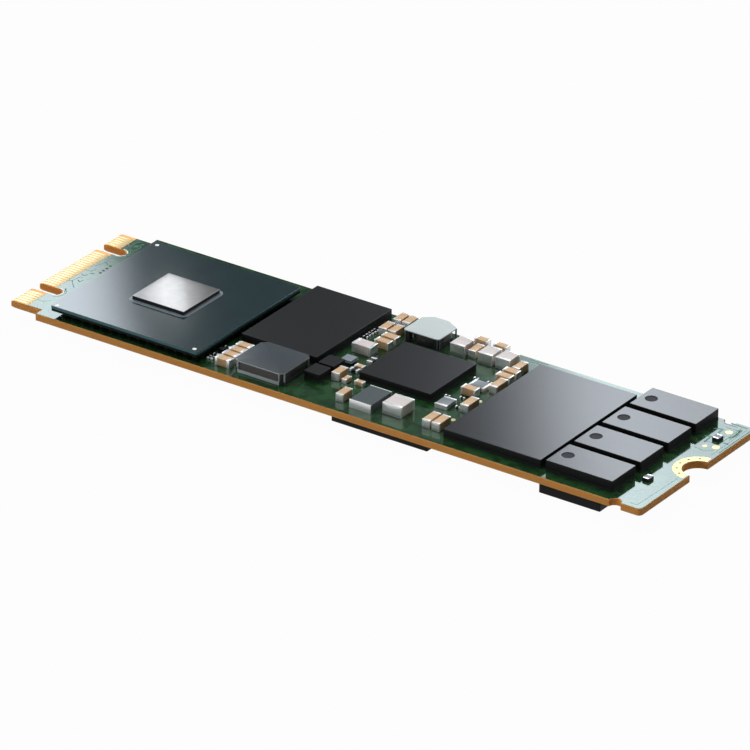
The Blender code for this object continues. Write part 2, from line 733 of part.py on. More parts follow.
def build_board():
    """The circuit board with its bevelled tongue, lands, vias and smallest parts."""
    board = prism(board_outline(), BOARD_BOTTOM, BOARD_TOP)
    board = combine(board, tip_wedges(), "DIFFERENCE")
    raised = finger_lands() + seat_lands() + test_lands() + tiny_parts()
    board = combine(board, joined(raised), "UNION")
    board = combine(board, joined(seat_vias()), "DIFFERENCE")
    add_object("circuit_board", board, LAMINATE)


def rounded_rectangle(spot, inset):
    """A part's outline, drawn in by an inset, with small round corners."""
    corner = MOULD_CORNER
    left, right = spot.left - CENTRE + inset, spot.right - CENTRE - inset
    near, far = spot.near + inset, spot.far - inset
    quarter = math.pi / 2
    points = arc((right - corner, far - corner), corner, 0.0, quarter, CORNER_SIDES)
    points += arc((left + corner, far - corner), corner, quarter, 2 * quarter, CORNER_SIDES)
    points += arc((left + corner, near + corner), corner, 2 * quarter, 3 * quarter, CORNER_SIDES)
    points += arc((right - corner, near + corner), corner, 3 * quarter, 4 * quarter, CORNER_SIDES)
    return points


def package_mesh(spot, height, marked):
    """A moulded package: carrier slab, inset moulding with a broken top edge, and a round mark."""
    levels = [
        (0.0, 0.0),
        (CARRIER_SLAB, 0.0),
        (CARRIER_SLAB, MOULD_INSET),
        (height - EDGE_BREAK, MOULD_INSET),
        (height, MOULD_INSET + EDGE_BREAK),
    ]
    rings = []
    for level, inset in levels:
        outline = rounded_rectangle(spot, inset)
        rings.append([(x, y, level) for x, y in outline])
    mesh = to_mesh(loft(rings))
    if marked:
        place = (spot.left - CENTRE + MARK_INSET, spot.middle[1])
        mark = prism(disc(place, MARK_RADIUS, ARC_SIDES), height - MARK_DEPTH, height + MARK_DEPTH)
        mesh = combine(mesh, mark, "DIFFERENCE")
    return mesh


def stand_on_top(mesh):
    """Lift a mesh that starts at level zero onto the board's top face."""
    mesh.transform(Matrix.Translation(Vector((0.0, 0.0, SEAT_TOP))))
    return mesh


def hang_below(mesh):
    """Turn a mesh that starts at level zero over, onto the board's underside."""
    mesh.transform(Matrix.Scale(-1.0, 4, Vector((0.0, 0.0, 1.0))))
    mesh.flip_normals()
    mesh.transform(Matrix.Translation(Vector((0.0, 0.0, SEAT_BOTTOM))))
    return mesh


def ball_places(spot):
    """Where the controller's balls stand: an outer ring of rows and a square core."""
    rows = int((spot.length - 2 * BALL_MARGIN) / BALL_PITCH + 0.5) + 1
    start = -(rows - 1) * BALL_PITCH / 2
    core = (rows - BALL_CORE_ROWS) // 2
    places = []
    for row in range(rows):
        for column in range(rows):
            edge = min(row, column, rows - 1 - row, rows - 1 - column)
            if edge < BALL_RING_ROWS or edge >= core:
                x = spot.middle[0] - CENTRE + start + row * BALL_PITCH
                y = spot.middle[1] + start + column * BALL_PITCH
                places.append((x, y))
    return places


def build_controller():
    """The controller: carrier on its solder balls, bare die, and the resin fillet round the die."""
    spot = TOP.spots["controller_carrier"]
    bottom = BALL_HEIGHT
    top = bottom + CARRIER_THICKNESS
    outline = rounded_rectangle(spot, 0.0)
    carrier = prism(outline, bottom, top)
    balls = []
    for place in ball_places(spot):
        foot = BALL_FOOT_RADIUS
        profile = ((0.0, foot), (bottom / 2, BALL_RADIUS), (bottom + BALL_EMBED, foot))
        rings = []
        for level, radius in profile:
            rings.append([(x, y, level) for x, y in disc(place, radius, BALL_SIDES)])
        balls.append(to_mesh(loft(rings)))
    carrier = combine(carrier, joined(balls), "UNION")
    add_object("controller_carrier", stand_on_top(carrier), CARRIER)

    middle = (spot.middle[0] - CENTRE, spot.middle[1])
    die_base = top + SOLDER_FILM
    half = (DIE_LENGTH / 2, DIE_WIDTH / 2)
    rings = []
    for level, inset in ((0.0, 0.0), (DIE_THICKNESS - DIE_EDGE_BREAK, 0.0), (DIE_THICKNESS, DIE_EDGE_BREAK)):
        x, y = half[0] - inset, half[1] - inset
        corners = ((-x, -y), (x, -y), (x, y), (-x, y))
        rings.append([(middle[0] + dx, middle[1] + dy, die_base + level) for dx, dy in corners])
    add_object("controller_die", stand_on_top(to_mesh(loft(rings))), SILICON)
    build_underfill(middle, half, die_base)


def build_underfill(middle, half, base):
    """The resin fillet: a low frame whose outer face sags from the die down to the carrier."""
    inner = [length + UNDERFILL_CLEARANCE for length in half]
    section = (
        (UNDERFILL_RUN, 0.0),
        (UNDERFILL_SAG_RUN, UNDERFILL_SAG_HEIGHT),
        (UNDERFILL_LIP, UNDERFILL_HEIGHT),
        (0.0, UNDERFILL_HEIGHT),
        (0.0, 0.0),
    )
    shape = bmesh.new()
    loops = []
    for out, level in section:
        x, y = inner[0] + out, inner[1] + out
        corners = ((-x, -y), (x, -y), (x, y), (-x, y))
        loops.append([shape.verts.new((middle[0] + dx, middle[1] + dy, base + level)) for dx, dy in corners])
    for lower, upper in zip(loops, loops[1:] + loops[:1]):
        for index in range(4):
            after = (index + 1) % 4
            shape.faces.new((lower[index], lower[after], upper[after], upper[index]))
    bmesh.ops.recalc_face_normals(shape, faces=shape.faces)
    add_object("die_underfill", stand_on_top(to_mesh(shape)), EPOXY)


def chamfered_rectangle(middle, half_x, half_y, cuts):
    """A rectangle with its corners cut across, by one length on the near side and one on the far."""
    near, far = cuts
    right = (
        (half_x - near, -half_y),
        (half_x, near - half_y),
        (half_x, half_y - far),
        (half_x - far, half_y),
    )
    left = [(-x, y) for x, y in reversed(right)]
    return [(middle[0] + x, middle[1] + y) for x, y in (*right, *left)]


def inductor_core(middle, half_x, half_y, cuts, post):
    """A core of two flanges joined by four corner posts, with the space between them open."""
    floor, ceiling = LOWER_FLANGE, INDUCTOR_HEIGHT - UPPER_FLANGE
    levels = (
        (0.0, EDGE_BREAK),
        (EDGE_BREAK, 0.0),
        (INDUCTOR_HEIGHT - EDGE_BREAK, 0.0),
        (INDUCTOR_HEIGHT, EDGE_BREAK),
    )
    rings = []
    for level, inset in levels:
        outline = chamfered_rectangle(middle, half_x - inset, half_y - inset, cuts)
        rings.append([(x, y, level) for x, y in outline])
    core = to_mesh(loft(rings))
    x, y = middle
    open_x, open_y = half_x - post, half_y - post
    spare = post
    along = block(x - half_x - spare, x + half_x + spare, y - open_y, y + open_y, floor, ceiling)
    across = block(x - open_x, x + open_x, y - half_y - spare, y + half_y + spare, floor, ceiling)
    return combine(core, combine(along, across, "UNION"), "DIFFERENCE")


def winding_rows(hub, reach):
    """The winding's section as radii and levels: straight inside, one round swell for each turn outside."""
    low = LOWER_FLANGE + WINDING_CLEARANCE
    high = INDUCTOR_HEIGHT - UPPER_FLANGE - WINDING_CLEARANCE
    pitch = (high - low) / WINDING_TURNS
    bulge = pitch / 2
    rows = [(*hub, high), (*hub, low)]
    for turn in range(WINDING_TURNS):
        last = turn == WINDING_TURNS - 1
        for step in range(TURN_SIDES + 1 if last else TURN_SIDES):
            angle = math.pi * step / TURN_SIDES
            swell = bulge * (math.sin(angle) - 1)
            level = low + turn * pitch + bulge * (1 - math.cos(angle))
            rows.append((reach[0] + swell, reach[1] + swell, level))
    return rows


def build_inductor(name, cuts, post, finish):
    """A wound inductor: a flanged core, and the winding that lies round its hub between the flanges."""
    spot = TOP.spots[f"{name}_core"]
    middle = (spot.middle[0] - CENTRE, spot.middle[1])
    half = (spot.length / 2, spot.depth / 2)
    core = inductor_core(middle, *half, cuts, post)
    between_posts = [math.sqrt(2) * (length - post) - WINDING_CLEARANCE for length in half]
    reach = [min(length - WINDING_RECESS, limit) for length, limit in zip(half, between_posts)]
    inner = [length - WINDING_WIDTH for length in reach]
    hub = [length - WINDING_CLEARANCE for length in inner]
    lowest, highest = LOWER_FLANGE - EDGE_BREAK, INDUCTOR_HEIGHT - UPPER_FLANGE + EDGE_BREAK
    core = combine(core, prism(ellipse(middle, *hub, RING_SIDES), lowest, highest), "UNION")
    add_object(f"{name}_core", stand_on_top(core), finish)

    shape = bmesh.new()
    loops = []
    for radius_x, radius_y, level in winding_rows(inner, reach):
        outline = ellipse(middle, radius_x, radius_y, RING_SIDES)
        loops.append([shape.verts.new((x, y, level)) for x, y in outline])
    for lower, upper in zip(loops, loops[1:] + loops[:1]):
        for index in range(RING_SIDES):
            after = (index + 1) % RING_SIDES
            shape.faces.new((lower[index], lower[after], upper[after], upper[index]))
    bmesh.ops.recalc_face_normals(shape, faces=shape.faces)
    add_object(f"{name}_winding", stand_on_top(to_mesh(shape)), WIRE, smooth=True)


def chip_mesh(spot, height, band):
    """A chip part along the longer side of its spot: a block between two slightly proud end bands."""
    turned = spot.depth > spot.length
    length, width = (spot.depth, spot.length) if turned else (spot.length, spot.depth)
    profile = (
        (0.0, EDGE_BREAK),
        (EDGE_BREAK, 0.0),
        (band, 0.0),
        (band, BAND_STEP),
        (length - band, BAND_STEP),
        (length - band, 0.0),
        (length - EDGE_BREAK, 0.0),
        (length, EDGE_BREAK),
    )
    rings = []
    for place, inset in profile:
        wide, low, high = width / 2 - inset, inset, height - inset
        cut = EDGE_BREAK
        section = (
            (wide, low + cut),
            (wide, high - cut),
            (wide - cut, high),
            (cut - wide, high),
            (-wide, high - cut),
            (-wide, low + cut),
            (cut - wide, low),
            (wide - cut, low),
        )
        rings.append([(place - length / 2, y, z) for y, z in section])
    mesh = to_mesh(loft(rings))
    if turned:
        mesh.transform(Matrix.Rotation(math.pi / 2, 4, "Z"))
    mesh.transform(Matrix.Translation(Vector((spot.middle[0] - CENTRE, spot.middle[1], 0.0))))
    return mesh


CHIP_KINDS = {
    "bulk_capacitor": (CHIP_HEIGHT, CHIP_BAND, CERAMIC),
    "strip_capacitor": (CHIP_HEIGHT, CHIP_BAND, CERAMIC),
    "edge_capacitor": (CHIP_HEIGHT, CHIP_BAND, CERAMIC),
    "rail_capacitor": (CHIP_HEIGHT, CHIP_BAND, CERAMIC),
    "small_capacitor": (SMALL_CHIP_HEIGHT, SMALL_CHIP_BAND, CERAMIC),
    "slim_capacitor": (SLIM_CHIP_HEIGHT, WIDE_CHIP_BAND, PALE_CERAMIC),
    "wide_capacitor": (WIDE_CHIP_HEIGHT, WIDE_CHIP_BAND, PALE_CERAMIC),
    "broad_capacitor": (WIDE_CHIP_HEIGHT, WIDE_CHIP_BAND, PALE_CERAMIC),
    "input_filter": (FILTER_HEIGHT, FILTER_BAND, GREY_CERAMIC),
    "sense_resistor": (SENSE_HEIGHT, SENSE_BAND, GREY_CERAMIC),
}


def build_chips():
    """Every capacitor, resistor and filter that is a node of its own."""
    for name, spot in TOP.spots.items():
        for kind, (height, band, finish) in CHIP_KINDS.items():
            if name.startswith(kind):
                add_object(name, stand_on_top(chip_mesh(spot, height, band)), finish)
    spot = UNDERSIDE.spots["under_capacitor"]
    add_object("under_capacitor", hang_below(chip_mesh(spot, CHIP_HEIGHT, CHIP_BAND)), CERAMIC)


def build_packages():
    """Every moulded package, on both sides of the board."""
    spots = TOP.spots
    plain = (
        ("memory_package", MEMORY_HEIGHT, MOULDING),
        ("power_chip", POWER_CHIP_HEIGHT, MOULDING),
        ("storage_package", STORAGE_HEIGHT, PALE_MOULDING),
        ("regulator_1", REGULATOR_HEIGHT, MOULDING),
        ("regulator_2", REGULATOR_HEIGHT, MOULDING),
        ("logic_chip", LOGIC_HEIGHT, MOULDING),
    )
    for name, height, finish in plain:
        add_object(name, stand_on_top(package_mesh(spots[name], height, False)), finish)
    name = "under_storage_package"
    mesh = package_mesh(UNDERSIDE.spots[name], STORAGE_HEIGHT, False)
    add_object(name, hang_below(mesh), PALE_MOULDING)
    for index in range(RESERVE_COUNT):
        name = f"reserve_capacitor_{index + 1}"
        add_object(name, stand_on_top(package_mesh(spots[name], RESERVE_HEIGHT, True)), PALE_MOULDING)
        name = f"under_reserve_{index + 1}"
        mesh = package_mesh(UNDERSIDE.spots[name], RESERVE_HEIGHT, True)
        add_object(name, hang_below(mesh), PALE_MOULDING)


def build_crystal():
    """The clock crystal: a ceramic tray under a flat metal lid."""
    spot = TOP.spots["clock_crystal"]
    rings = []
    for level, inset in (
        (0.0, 0.0),
        (CRYSTAL_BASE, 0.0),
        (CRYSTAL_BASE, CRYSTAL_LID_INSET),
        (CRYSTAL_HEIGHT - EDGE_BREAK, CRYSTAL_LID_INSET),
        (CRYSTAL_HEIGHT, CRYSTAL_LID_INSET + EDGE_BREAK),
    ):
        outline = rounded_rectangle(spot, inset)
        rings.append([(x, y, level) for x, y in outline])
    add_object("clock_crystal", stand_on_top(to_mesh(loft(rings))), LID)


def main():
    """Build every piece of the drive."""
    clear_scene()
    build_board()
    build_controller()
    build_packages()
    build_inductor("large_inductor", (CHOKE_NEAR_CORNER, CHOKE_FAR_CORNER), CHOKE_POST, FERRITE)
    build_inductor("small_inductor", (COIL_NEAR_CORNER, COIL_FAR_CORNER), COIL_POST, PALE_FERRITE)
    build_crystal()
    build_chips()


main()
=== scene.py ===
"""Looks of a gumstick solid state drive: a narrow glass-cloth card with a controller, packages and coils.

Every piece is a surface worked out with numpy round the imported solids, in metres, in their own frame. X
runs from the contact fingers to the screw seat, Y across the card and Z up from the lowest package under
it. Sizes in the classes are in millimetres.
"""

import logging
import math
from dataclasses import dataclass, field
from enum import Enum

import bpy
import numpy as np
from mathutils import Matrix, Vector


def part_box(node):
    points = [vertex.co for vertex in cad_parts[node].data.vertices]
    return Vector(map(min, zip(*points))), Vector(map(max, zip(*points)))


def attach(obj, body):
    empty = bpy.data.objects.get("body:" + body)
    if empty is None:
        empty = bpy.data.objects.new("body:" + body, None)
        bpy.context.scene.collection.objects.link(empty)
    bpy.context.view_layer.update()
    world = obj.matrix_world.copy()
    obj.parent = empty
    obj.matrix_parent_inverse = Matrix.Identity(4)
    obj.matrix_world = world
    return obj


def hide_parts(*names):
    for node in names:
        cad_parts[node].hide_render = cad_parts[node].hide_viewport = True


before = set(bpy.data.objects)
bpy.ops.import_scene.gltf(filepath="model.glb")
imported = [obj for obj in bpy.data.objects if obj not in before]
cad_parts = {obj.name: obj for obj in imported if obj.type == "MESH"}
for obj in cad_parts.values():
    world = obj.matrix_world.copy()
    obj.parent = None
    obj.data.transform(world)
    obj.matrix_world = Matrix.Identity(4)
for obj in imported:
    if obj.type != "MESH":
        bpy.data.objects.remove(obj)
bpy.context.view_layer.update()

MM = 0.001

log = logging.getLogger("drive")

Box = tuple[np.ndarray, np.ndarray]


# Finishes


def linear(code: str) -> tuple[float, float, float, float]:
    """Turn an sRGB hex colour into the linear values that a shader takes.

    Args:
        code: the colour as #RRGGBB.

    Returns:
        Red, green, blue and a full alpha.
    """
    parts = np.array([int(code[place : place + 2], 16) for place in (1, 3, 5)]) / 255
    parts = np.where(parts <= 0.04045, parts / 12.92, ((parts + 0.055) / 1.055) ** 2.4)
    return (*(float(part) for part in parts), 1.0)


def add(tree: bpy.types.NodeTree, kind: str, settings: dict, links: dict | None = None) -> bpy.types.Node:
    """Add one node with its settings and links.

    Args:
        tree: the node tree it goes into.
        kind: the node's type name.
        settings: properties and socket values by name; "stops" gives a colour ramp's places and colours.
        links: the output that feeds each input, by the input's name or number.

    Returns:
        The new node.
    """
    node = tree.nodes.new(kind)
    for key, value in settings.items():
        if key == "stops":
            elements = node.color_ramp.elements
            elements[0].position, elements[0].color = value[0]
            elements[1].position, elements[1].color = value[-1]
            for place, colour in value[1:-1]:
                elements.new(place).color = colour
        elif isinstance(key, str) and hasattr(node, key):
            setattr(node, key, value)
        else:
            node.inputs[key].default_value = value
    for key, source in (links or {}).items():
        tree.links.new(source, node.inputs[key])
    return node


def fresh_tree(owner: bpy.types.Material | bpy.types.World) -> bpy.types.NodeTree:
    """Give a material or a world an empty node tree, and return it."""
    owner.use_nodes = True
    owner.node_tree.nodes.clear()
    return owner.node_tree


def plain_view(tree: bpy.types.NodeTree) -> bpy.types.NodeSocket:
    """Find whether a ray comes from the camera, off gloss or through glass: the largest of the three answers.

    Args:
        tree: the node tree that the nodes go into.

    Returns:
        The output that carries one or zero.
    """
    path = add(tree, "ShaderNodeLightPath", {})
    seen = path.outputs["Is Camera Ray"]
    for kind in ("Is Glossy Ray", "Is Transmission Ray"):
        links = {0: seen, 1: path.outputs[kind]}
        seen = add(tree, "ShaderNodeMath", {"operation": "MAXIMUM"}, links).outputs[0]
    return seen


class Pattern(Enum):
    """What a surface's making leaves on it: the texture's node, and the output that carries it."""

    GRAIN = ("ShaderNodeTexNoise", "Fac")
    LAYERS = ("ShaderNodeTexWave", "Fac")
    PATCHES = ("ShaderNodeTexVoronoi", "Color")


# What each texture's node is set to: fine grain, cloth layers a period apart along Z, and square-cut patches.
TEXTURE_SETTINGS = {
    Pattern.GRAIN: {"Scale": 1.0, "Detail": 4.0, "Roughness": 0.6},
    Pattern.LAYERS: {"Scale": math.pi / 10, "Distortion": 3.0, "Detail": 2.0, "bands_direction": "Z"},
    Pattern.PATCHES: {"Scale": 1.0, "distance": "CHEBYCHEV", "Randomness": 0.85},
}


@dataclass(frozen=True)
class Finish:
    """One real finish: its colours, its gloss, and the size and relief of its pattern in millimetres.

    The real grain of plated metal, fired ceramic and ferrite is a few hundredths of a millimetre or less.
    It is drawn at 0.1 to 0.2 mm, or it wouldn't show.
    """

    name: str
    colour: str
    second: str
    roughness: float
    grain: tuple[float, float, float] = (0.2, 0.2, 0.2)
    relief: float = 0.004
    metallic: float = 0.0
    specular: float = 0.5
    coat: float = 0.0
    tint: str = "#FFFFFF"
    pattern: Pattern = Pattern.GRAIN
    spread: tuple[float, float] = (0.3, 0.7)

    def material(self) -> bpy.types.Material:
        """Return this finish's material, made the first time it is asked for.

        The pattern reads Object coordinates through a mapping whose scale is one over the grain in metres.
        It drives the colour between the finish's two colours, the roughness between 0.9 and 1.15 of its
        value, and a bump of the relief.

        Returns:
            The Blender material.
        """
        known = bpy.data.materials.get(self.name)
        if known:
            return known
        made = bpy.data.materials.new(self.name)
        tree = fresh_tree(made)
        place = add(tree, "ShaderNodeTexCoord", {})
        scale = tuple(1 / (size * MM) for size in self.grain)
        mapped = add(tree, "ShaderNodeMapping", {"Scale": scale}, {"Vector": place.outputs["Object"]})
        kind, output = self.pattern.value
        texture = add(tree, kind, TEXTURE_SETTINGS[self.pattern], {"Vector": mapped.outputs["Vector"]})
        stops = [(self.spread[0], linear(self.colour)), (self.spread[1], linear(self.second))]
        colour = add(tree, "ShaderNodeValToRGB", {"stops": stops}, {"Fac": texture.outputs[output]})
        fine = {"Scale": 4.0, "Detail": 3.0}
        grain = add(tree, "ShaderNodeTexNoise", fine, {"Vector": mapped.outputs["Vector"]})
        reach = {"To Min": self.roughness * 0.9, "To Max": min(self.roughness * 1.15, 1.0)}
        gloss = add(tree, "ShaderNodeMapRange", reach, {"Value": grain.outputs["Fac"]})
        height = texture.outputs[output] if self.pattern is not Pattern.GRAIN else grain.outputs["Fac"]
        relief = {"Distance": self.relief * MM, "Strength": 1.0}
        bump = add(tree, "ShaderNodeBump", relief, {"Height": height})
        sockets = {
            "Metallic": self.metallic, "Specular IOR Level": self.specular,
            "Specular Tint": linear(self.tint), "Coat Weight": self.coat, "Coat Roughness": 0.05,
        }
        links = {
            "Base Color": colour.outputs["Color"],
            "Roughness": gloss.outputs["Result"],
            "Normal": bump.outputs["Normal"],
        }
        shader = add(tree, "ShaderNodeBsdfPrincipled", sockets, links)
        add(tree, "ShaderNodeOutputMaterial", {}, {"Surface": shader.outputs["BSDF"]})
        return made


# Woven glass cloth in cured epoxy, routed to its outline: honey brown, with the cloth's layers, 0.14 mm
# apart, as fine lines.
LAMINATE = Finish(
    "glass_epoxy_laminate", "#DE9146", "#F2B161", 0.55, (0.9, 0.9, 0.14), 0.006, pattern=Pattern.LAYERS,
    specular=0.15, spread=(0.15, 0.85),
)
# Liquid photo-imaged solder mask, cured over etched copper: deep green and wet-looking, and paler over
# the copper fills, which are square-cut patches of about 0.8 mm.
MASK = Finish(
    "green_solder_mask", "#16321A", "#244826", 0.08, (0.9, 0.7, 1.0), 0.003, pattern=Pattern.PATCHES,
    specular=0.68, spread=(0.35, 0.65), tint="#E6FFF8",
)
# The same mask where it climbs over a track: paler and a little duller, so the track shows as a line.
MASKED_COPPER = Finish("mask_over_copper", "#3C7466", "#50887A", 0.2, (0.3, 0.3, 0.3), 0.002, specular=0.1)
# Electroplated hard gold over nickel: pale, warm, with a soft sheen from the etched copper beneath.
GOLD = Finish("hard_gold_plate", "#BFB083", "#CABD94", 0.42, (0.15, 0.15, 0.15), 0.002, metallic=1.0)
# Tin-silver solder and tinned end bands, reflowed: near white, soft highlights.
TIN = Finish("reflowed_tin", "#ECEDEE", "#F6F7F8", 0.26, (0.1, 0.1, 0.1), 0.003, metallic=0.6)
# Solder at the foot of a chip: duller than its bands, with flux in its corners.
SOLDER = Finish("chip_solder", "#86888A", "#96989A", 0.45, (0.1, 0.1, 0.1), 0.004, metallic=0.2)
# Solder spheres of the controller: painted dull dark grey, as painted shade for the shadow under the carrier.
SHADED_BALL_ALLOY = Finish("solder_sphere_painted_shade", "#2E3032", "#3A3C3E", 0.6, (0.1, 0.1, 0.1), 0.002, metallic=0.5)
# Drilled and plated hole, filled with mask: a dark dot.
VIA = Finish("filled_via", "#2E2818", "#3C3422", 0.5, (0.1, 0.1, 0.1), 0.002, specular=0.2)
# Build-up laminate with a blue-green mask, pressed: a soft gloss, faintly mottled every 2 mm by the copper
# beneath.
CARRIER = Finish("teal_carrier_mask", "#182B30", "#1F3438", 0.13, (2.2, 2.2, 2.2), 0.002, specular=0.6)
# The carrier's sawn side, where the blue-green build-up layers come out.
CARRIER_EDGE = Finish("sawn_carrier_edge", "#356466", "#437476", 0.4, (0.4, 0.4, 0.1), 0.003, specular=0.3)
# The lower part of the carrier's side, near black: painted shade for the shadowed gap over the solder balls.
CARRIER_SIDE_SHADE = Finish("carrier_side_painted_shade", "#0E1010", "#181A1A", 0.6, (0.4, 0.4, 0.1), 0.003, specular=0.1)
# Polished bare silicon: a grey mirror.
SILICON = Finish("polished_silicon", "#C2C4C7", "#CACCCE", 0.05, (0.8, 0.8, 0.8), 0.0003, metallic=1.0)
# The die's sawn side: dark and slightly rough.
SAWN_SILICON = Finish("sawn_silicon", "#131517", "#1B1D20", 0.45, (0.1, 0.1, 0.1), 0.002, specular=0.3)
# Capillary underfill resin, cured in a soft meniscus.
RESIN = Finish("cured_underfill", "#6A7680", "#7A868E", 0.4, (0.4, 0.4, 0.4), 0.003, specular=0.3)
# Transfer-moulded epoxy with silica filler: near black, with a very fine matt grain. The filler is
# 0.03 mm across and is drawn twice as coarse, or it wouldn't show.
EPOXY = Finish("moulded_epoxy", "#19191B", "#202022", 0.28, (0.06, 0.06, 0.06), 0.0016, specular=0.25)
# The sawn walls of a moulding: dull from the saw, and painted near black, darker than the top, as painted
# shade.
SAWN_EPOXY_IN_SHADE = Finish(
    "sawn_moulding_wall_painted_shade", "#101011", "#171718", 0.5, (0.06, 0.06, 0.06), 0.0016, specular=0.12,
)
# The same moulding from a polished tool: it takes a long soft reflection.
SATIN_EPOXY = Finish(
    "satin_moulded_epoxy", "#1D1E20", "#242528", 0.2, (0.06, 0.06, 0.06), 0.001, specular=0.38,
)
# The round mark of the ejector pin: a rougher, duller patch of the moulding.
PIN_MARK = Finish("ejector_mark", "#2E3036", "#383B41", 0.6, (0.05, 0.05, 0.05), 0.002, specular=0.08)
# Sawn package substrate under a moulding: dark green-brown with fine layers.
SUBSTRATE = Finish(
    "package_substrate", "#14181A", "#1E2220", 0.5, (0.6, 0.6, 0.08), 0.002, pattern=Pattern.LAYERS,
    specular=0.2,
)
# Fired barium titanate ceramic: tan, eggshell smooth. Its grain is far finer than the 0.12 mm drawn here.
TAN_CERAMIC = Finish(
    "fired_tan_ceramic", "#C49E72", "#D2AF86", 0.42, (0.12, 0.12, 0.12), 0.003, specular=0.35,
)
# Larger ceramic body, paler and greyer.
PALE_CERAMIC = Finish(
    "fired_pale_ceramic", "#C8C0BE", "#D6CECB", 0.42, (0.15, 0.15, 0.15), 0.003, specular=0.35,
)
# Glazed alumina of the sense resistors: mid grey.
GREY_CERAMIC = Finish(
    "grey_glazed_ceramic", "#6E777D", "#7C858B", 0.35, (0.15, 0.15, 0.15), 0.003, specular=0.4,
)
# The filter's moulded body: slate grey, satin.
FILTER_BODY = Finish("slate_filter_body", "#454F53", "#4F595D", 0.3, (0.15, 0.15, 0.15), 0.003, specular=0.4)
# Black glass over a resistor's body.
BLACK_GLAZE = Finish("black_resistor_glaze", "#131315", "#1D1D20", 0.3, (0.1, 0.1, 0.1), 0.002)
# Pressed and fired ferrite, tumbled: blue-grey and satin.
FERRITE = Finish("tumbled_ferrite", "#394248", "#41494E", 0.25, (0.2, 0.2, 0.2), 0.003, specular=0.45)
# Pale ferrite: the small inductor's own colour, and on the dark inductor's rims and ribs a painted highlight
# along the edges.
PALE_FERRITE_AND_HIGHLIGHT = Finish("pale_ferrite", "#9CA6A9", "#A8B2B5", 0.4, (0.2, 0.2, 0.2), 0.003, specular=0.4)
# Ferrite in the shade between the flanges, with the lacquer that holds the winding: dark and dull, partly
# from the lacquer and partly painted shade.
DARK_FERRITE = Finish("lacquered_ferrite_and_shade", "#232628", "#303436", 0.45, (0.2, 0.2, 0.2), 0.003, specular=0.3)
# Enamelled copper wire: dark varnish over bright metal.
ENAMEL = Finish("enamelled_wire", "#353130", "#433E3C", 0.3, (0.2, 0.2, 0.2), 0.001, coat=0.2)
# Nickel-plated kovar lid, brushed along its length.
LID = Finish("nickel_lid", "#848F98", "#929DA6", 0.3, (0.6, 0.05, 0.3), 0.002, metallic=0.3)
# White legend ink, screen printed.
INK = Finish("white_ink", "#DADEDE", "#E8ECEC", 0.5, (0.1, 0.1, 0.1), 0.002)


# Surfaces


class Ends(Enum):
    """How a run of rows is closed: with a fan of triangles or with one flat face."""

    FAN = "fan"
    FACE = "face"


@dataclass
class Shell:
    """Closed surfaces gathered for one mesh, each a grid of points whose columns run round it."""

    points: list[np.ndarray] = field(default_factory=list)
    faces: list[list[int]] = field(default_factory=list)
    wear: list[np.ndarray] = field(default_factory=list)
    size: int = 0

    def add(
        self, rows: np.ndarray, finish: int | np.ndarray = 0, ends: Ends = Ends.FAN, ring: bool = False
    ) -> None:
        """Join a grid of points into faces that point outwards.

        Point (r, c) makes a face with (r, c + 1), (r + 1, c + 1) and (r + 1, c), and the last column joins
        the first. It points outwards where columns run anticlockwise about the direction in which rows
        advance.

        Args:
            rows: the points, as rows by columns by three, in millimetres.
            finish: the finish number of all faces, or one number for each gap between rows.
            ends: how the first and last rows are closed.
            ring: whether the last row joins the first, which leaves no ends.
        """
        count, width = rows.shape[:2]
        grid = np.arange(count * width).reshape(count, width) + self.size
        lower, upper = (grid, np.roll(grid, -1, axis=0)) if ring else (grid[:-1], grid[1:])
        across, above = np.roll(lower, -1, axis=1), np.roll(upper, -1, axis=1)
        self.faces += np.stack([lower, across, above, upper], axis=-1).reshape(-1, 4).tolist()
        wear = np.broadcast_to(np.asarray(finish), (len(lower),))
        self.wear.append(np.repeat(wear, width))
        self.points.append(rows.reshape(-1, 3))
        self.size += count * width
        if ring:
            return
        if ends is Ends.FACE:
            self.faces += [grid[0, ::-1].tolist(), grid[-1].tolist()]
            self.wear.append(np.array([wear[0], wear[-1]]))
            return
        self.points.append(np.stack([rows[0].mean(axis=0), rows[-1].mean(axis=0)]))
        first, last = np.full(width, self.size), np.full(width, self.size + 1)
        self.faces += np.stack([np.roll(grid[0], -1), grid[0], first], axis=-1).tolist()
        self.faces += np.stack([grid[-1], np.roll(grid[-1], -1), last], axis=-1).tolist()
        self.wear.append(np.repeat([wear[0], wear[-1]], width))
        self.size += 2

    def place(
        self, name: str, finishes: tuple[Finish, ...], slot: str, nodes: tuple[str, ...] = (),
        sharp: float = 40.0,
    ) -> bpy.types.Object:
        """Make the gathered surfaces into one piece that rides with the drive.

        Args:
            name: the piece's name.
            finishes: the finishes that the faces' numbers stand for.
            slot: the record's material slot; not used.
            nodes: the CAD nodes that the piece stands for.
            sharp: the angle in degrees above which an edge stays sharp.

        Returns:
            The new object, at the origin.
        """
        mesh = bpy.data.meshes.new(name)
        mesh.from_pydata(np.concatenate(self.points) * MM, [], self.faces)
        for finish in finishes:
            mesh.materials.append(finish.material())
        mesh.polygons.foreach_set("material_index", np.concatenate(self.wear).astype(np.int32))
        mesh.shade_smooth()
        mesh.set_sharp_from_angle(angle=math.radians(sharp))
        mesh.update()
        made = bpy.data.objects.new(name, mesh)
        bpy.context.scene.collection.objects.link(made)
        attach(made, "root")
        if nodes:
            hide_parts(*nodes)
        log.info("%s: %d faces", name, len(self.faces))
        return made


def box_of(node: str) -> Box:
    """Return a CAD node's lowest and highest corners in millimetres."""
    low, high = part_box(node)
    return np.array(low) / MM, np.array(high) / MM


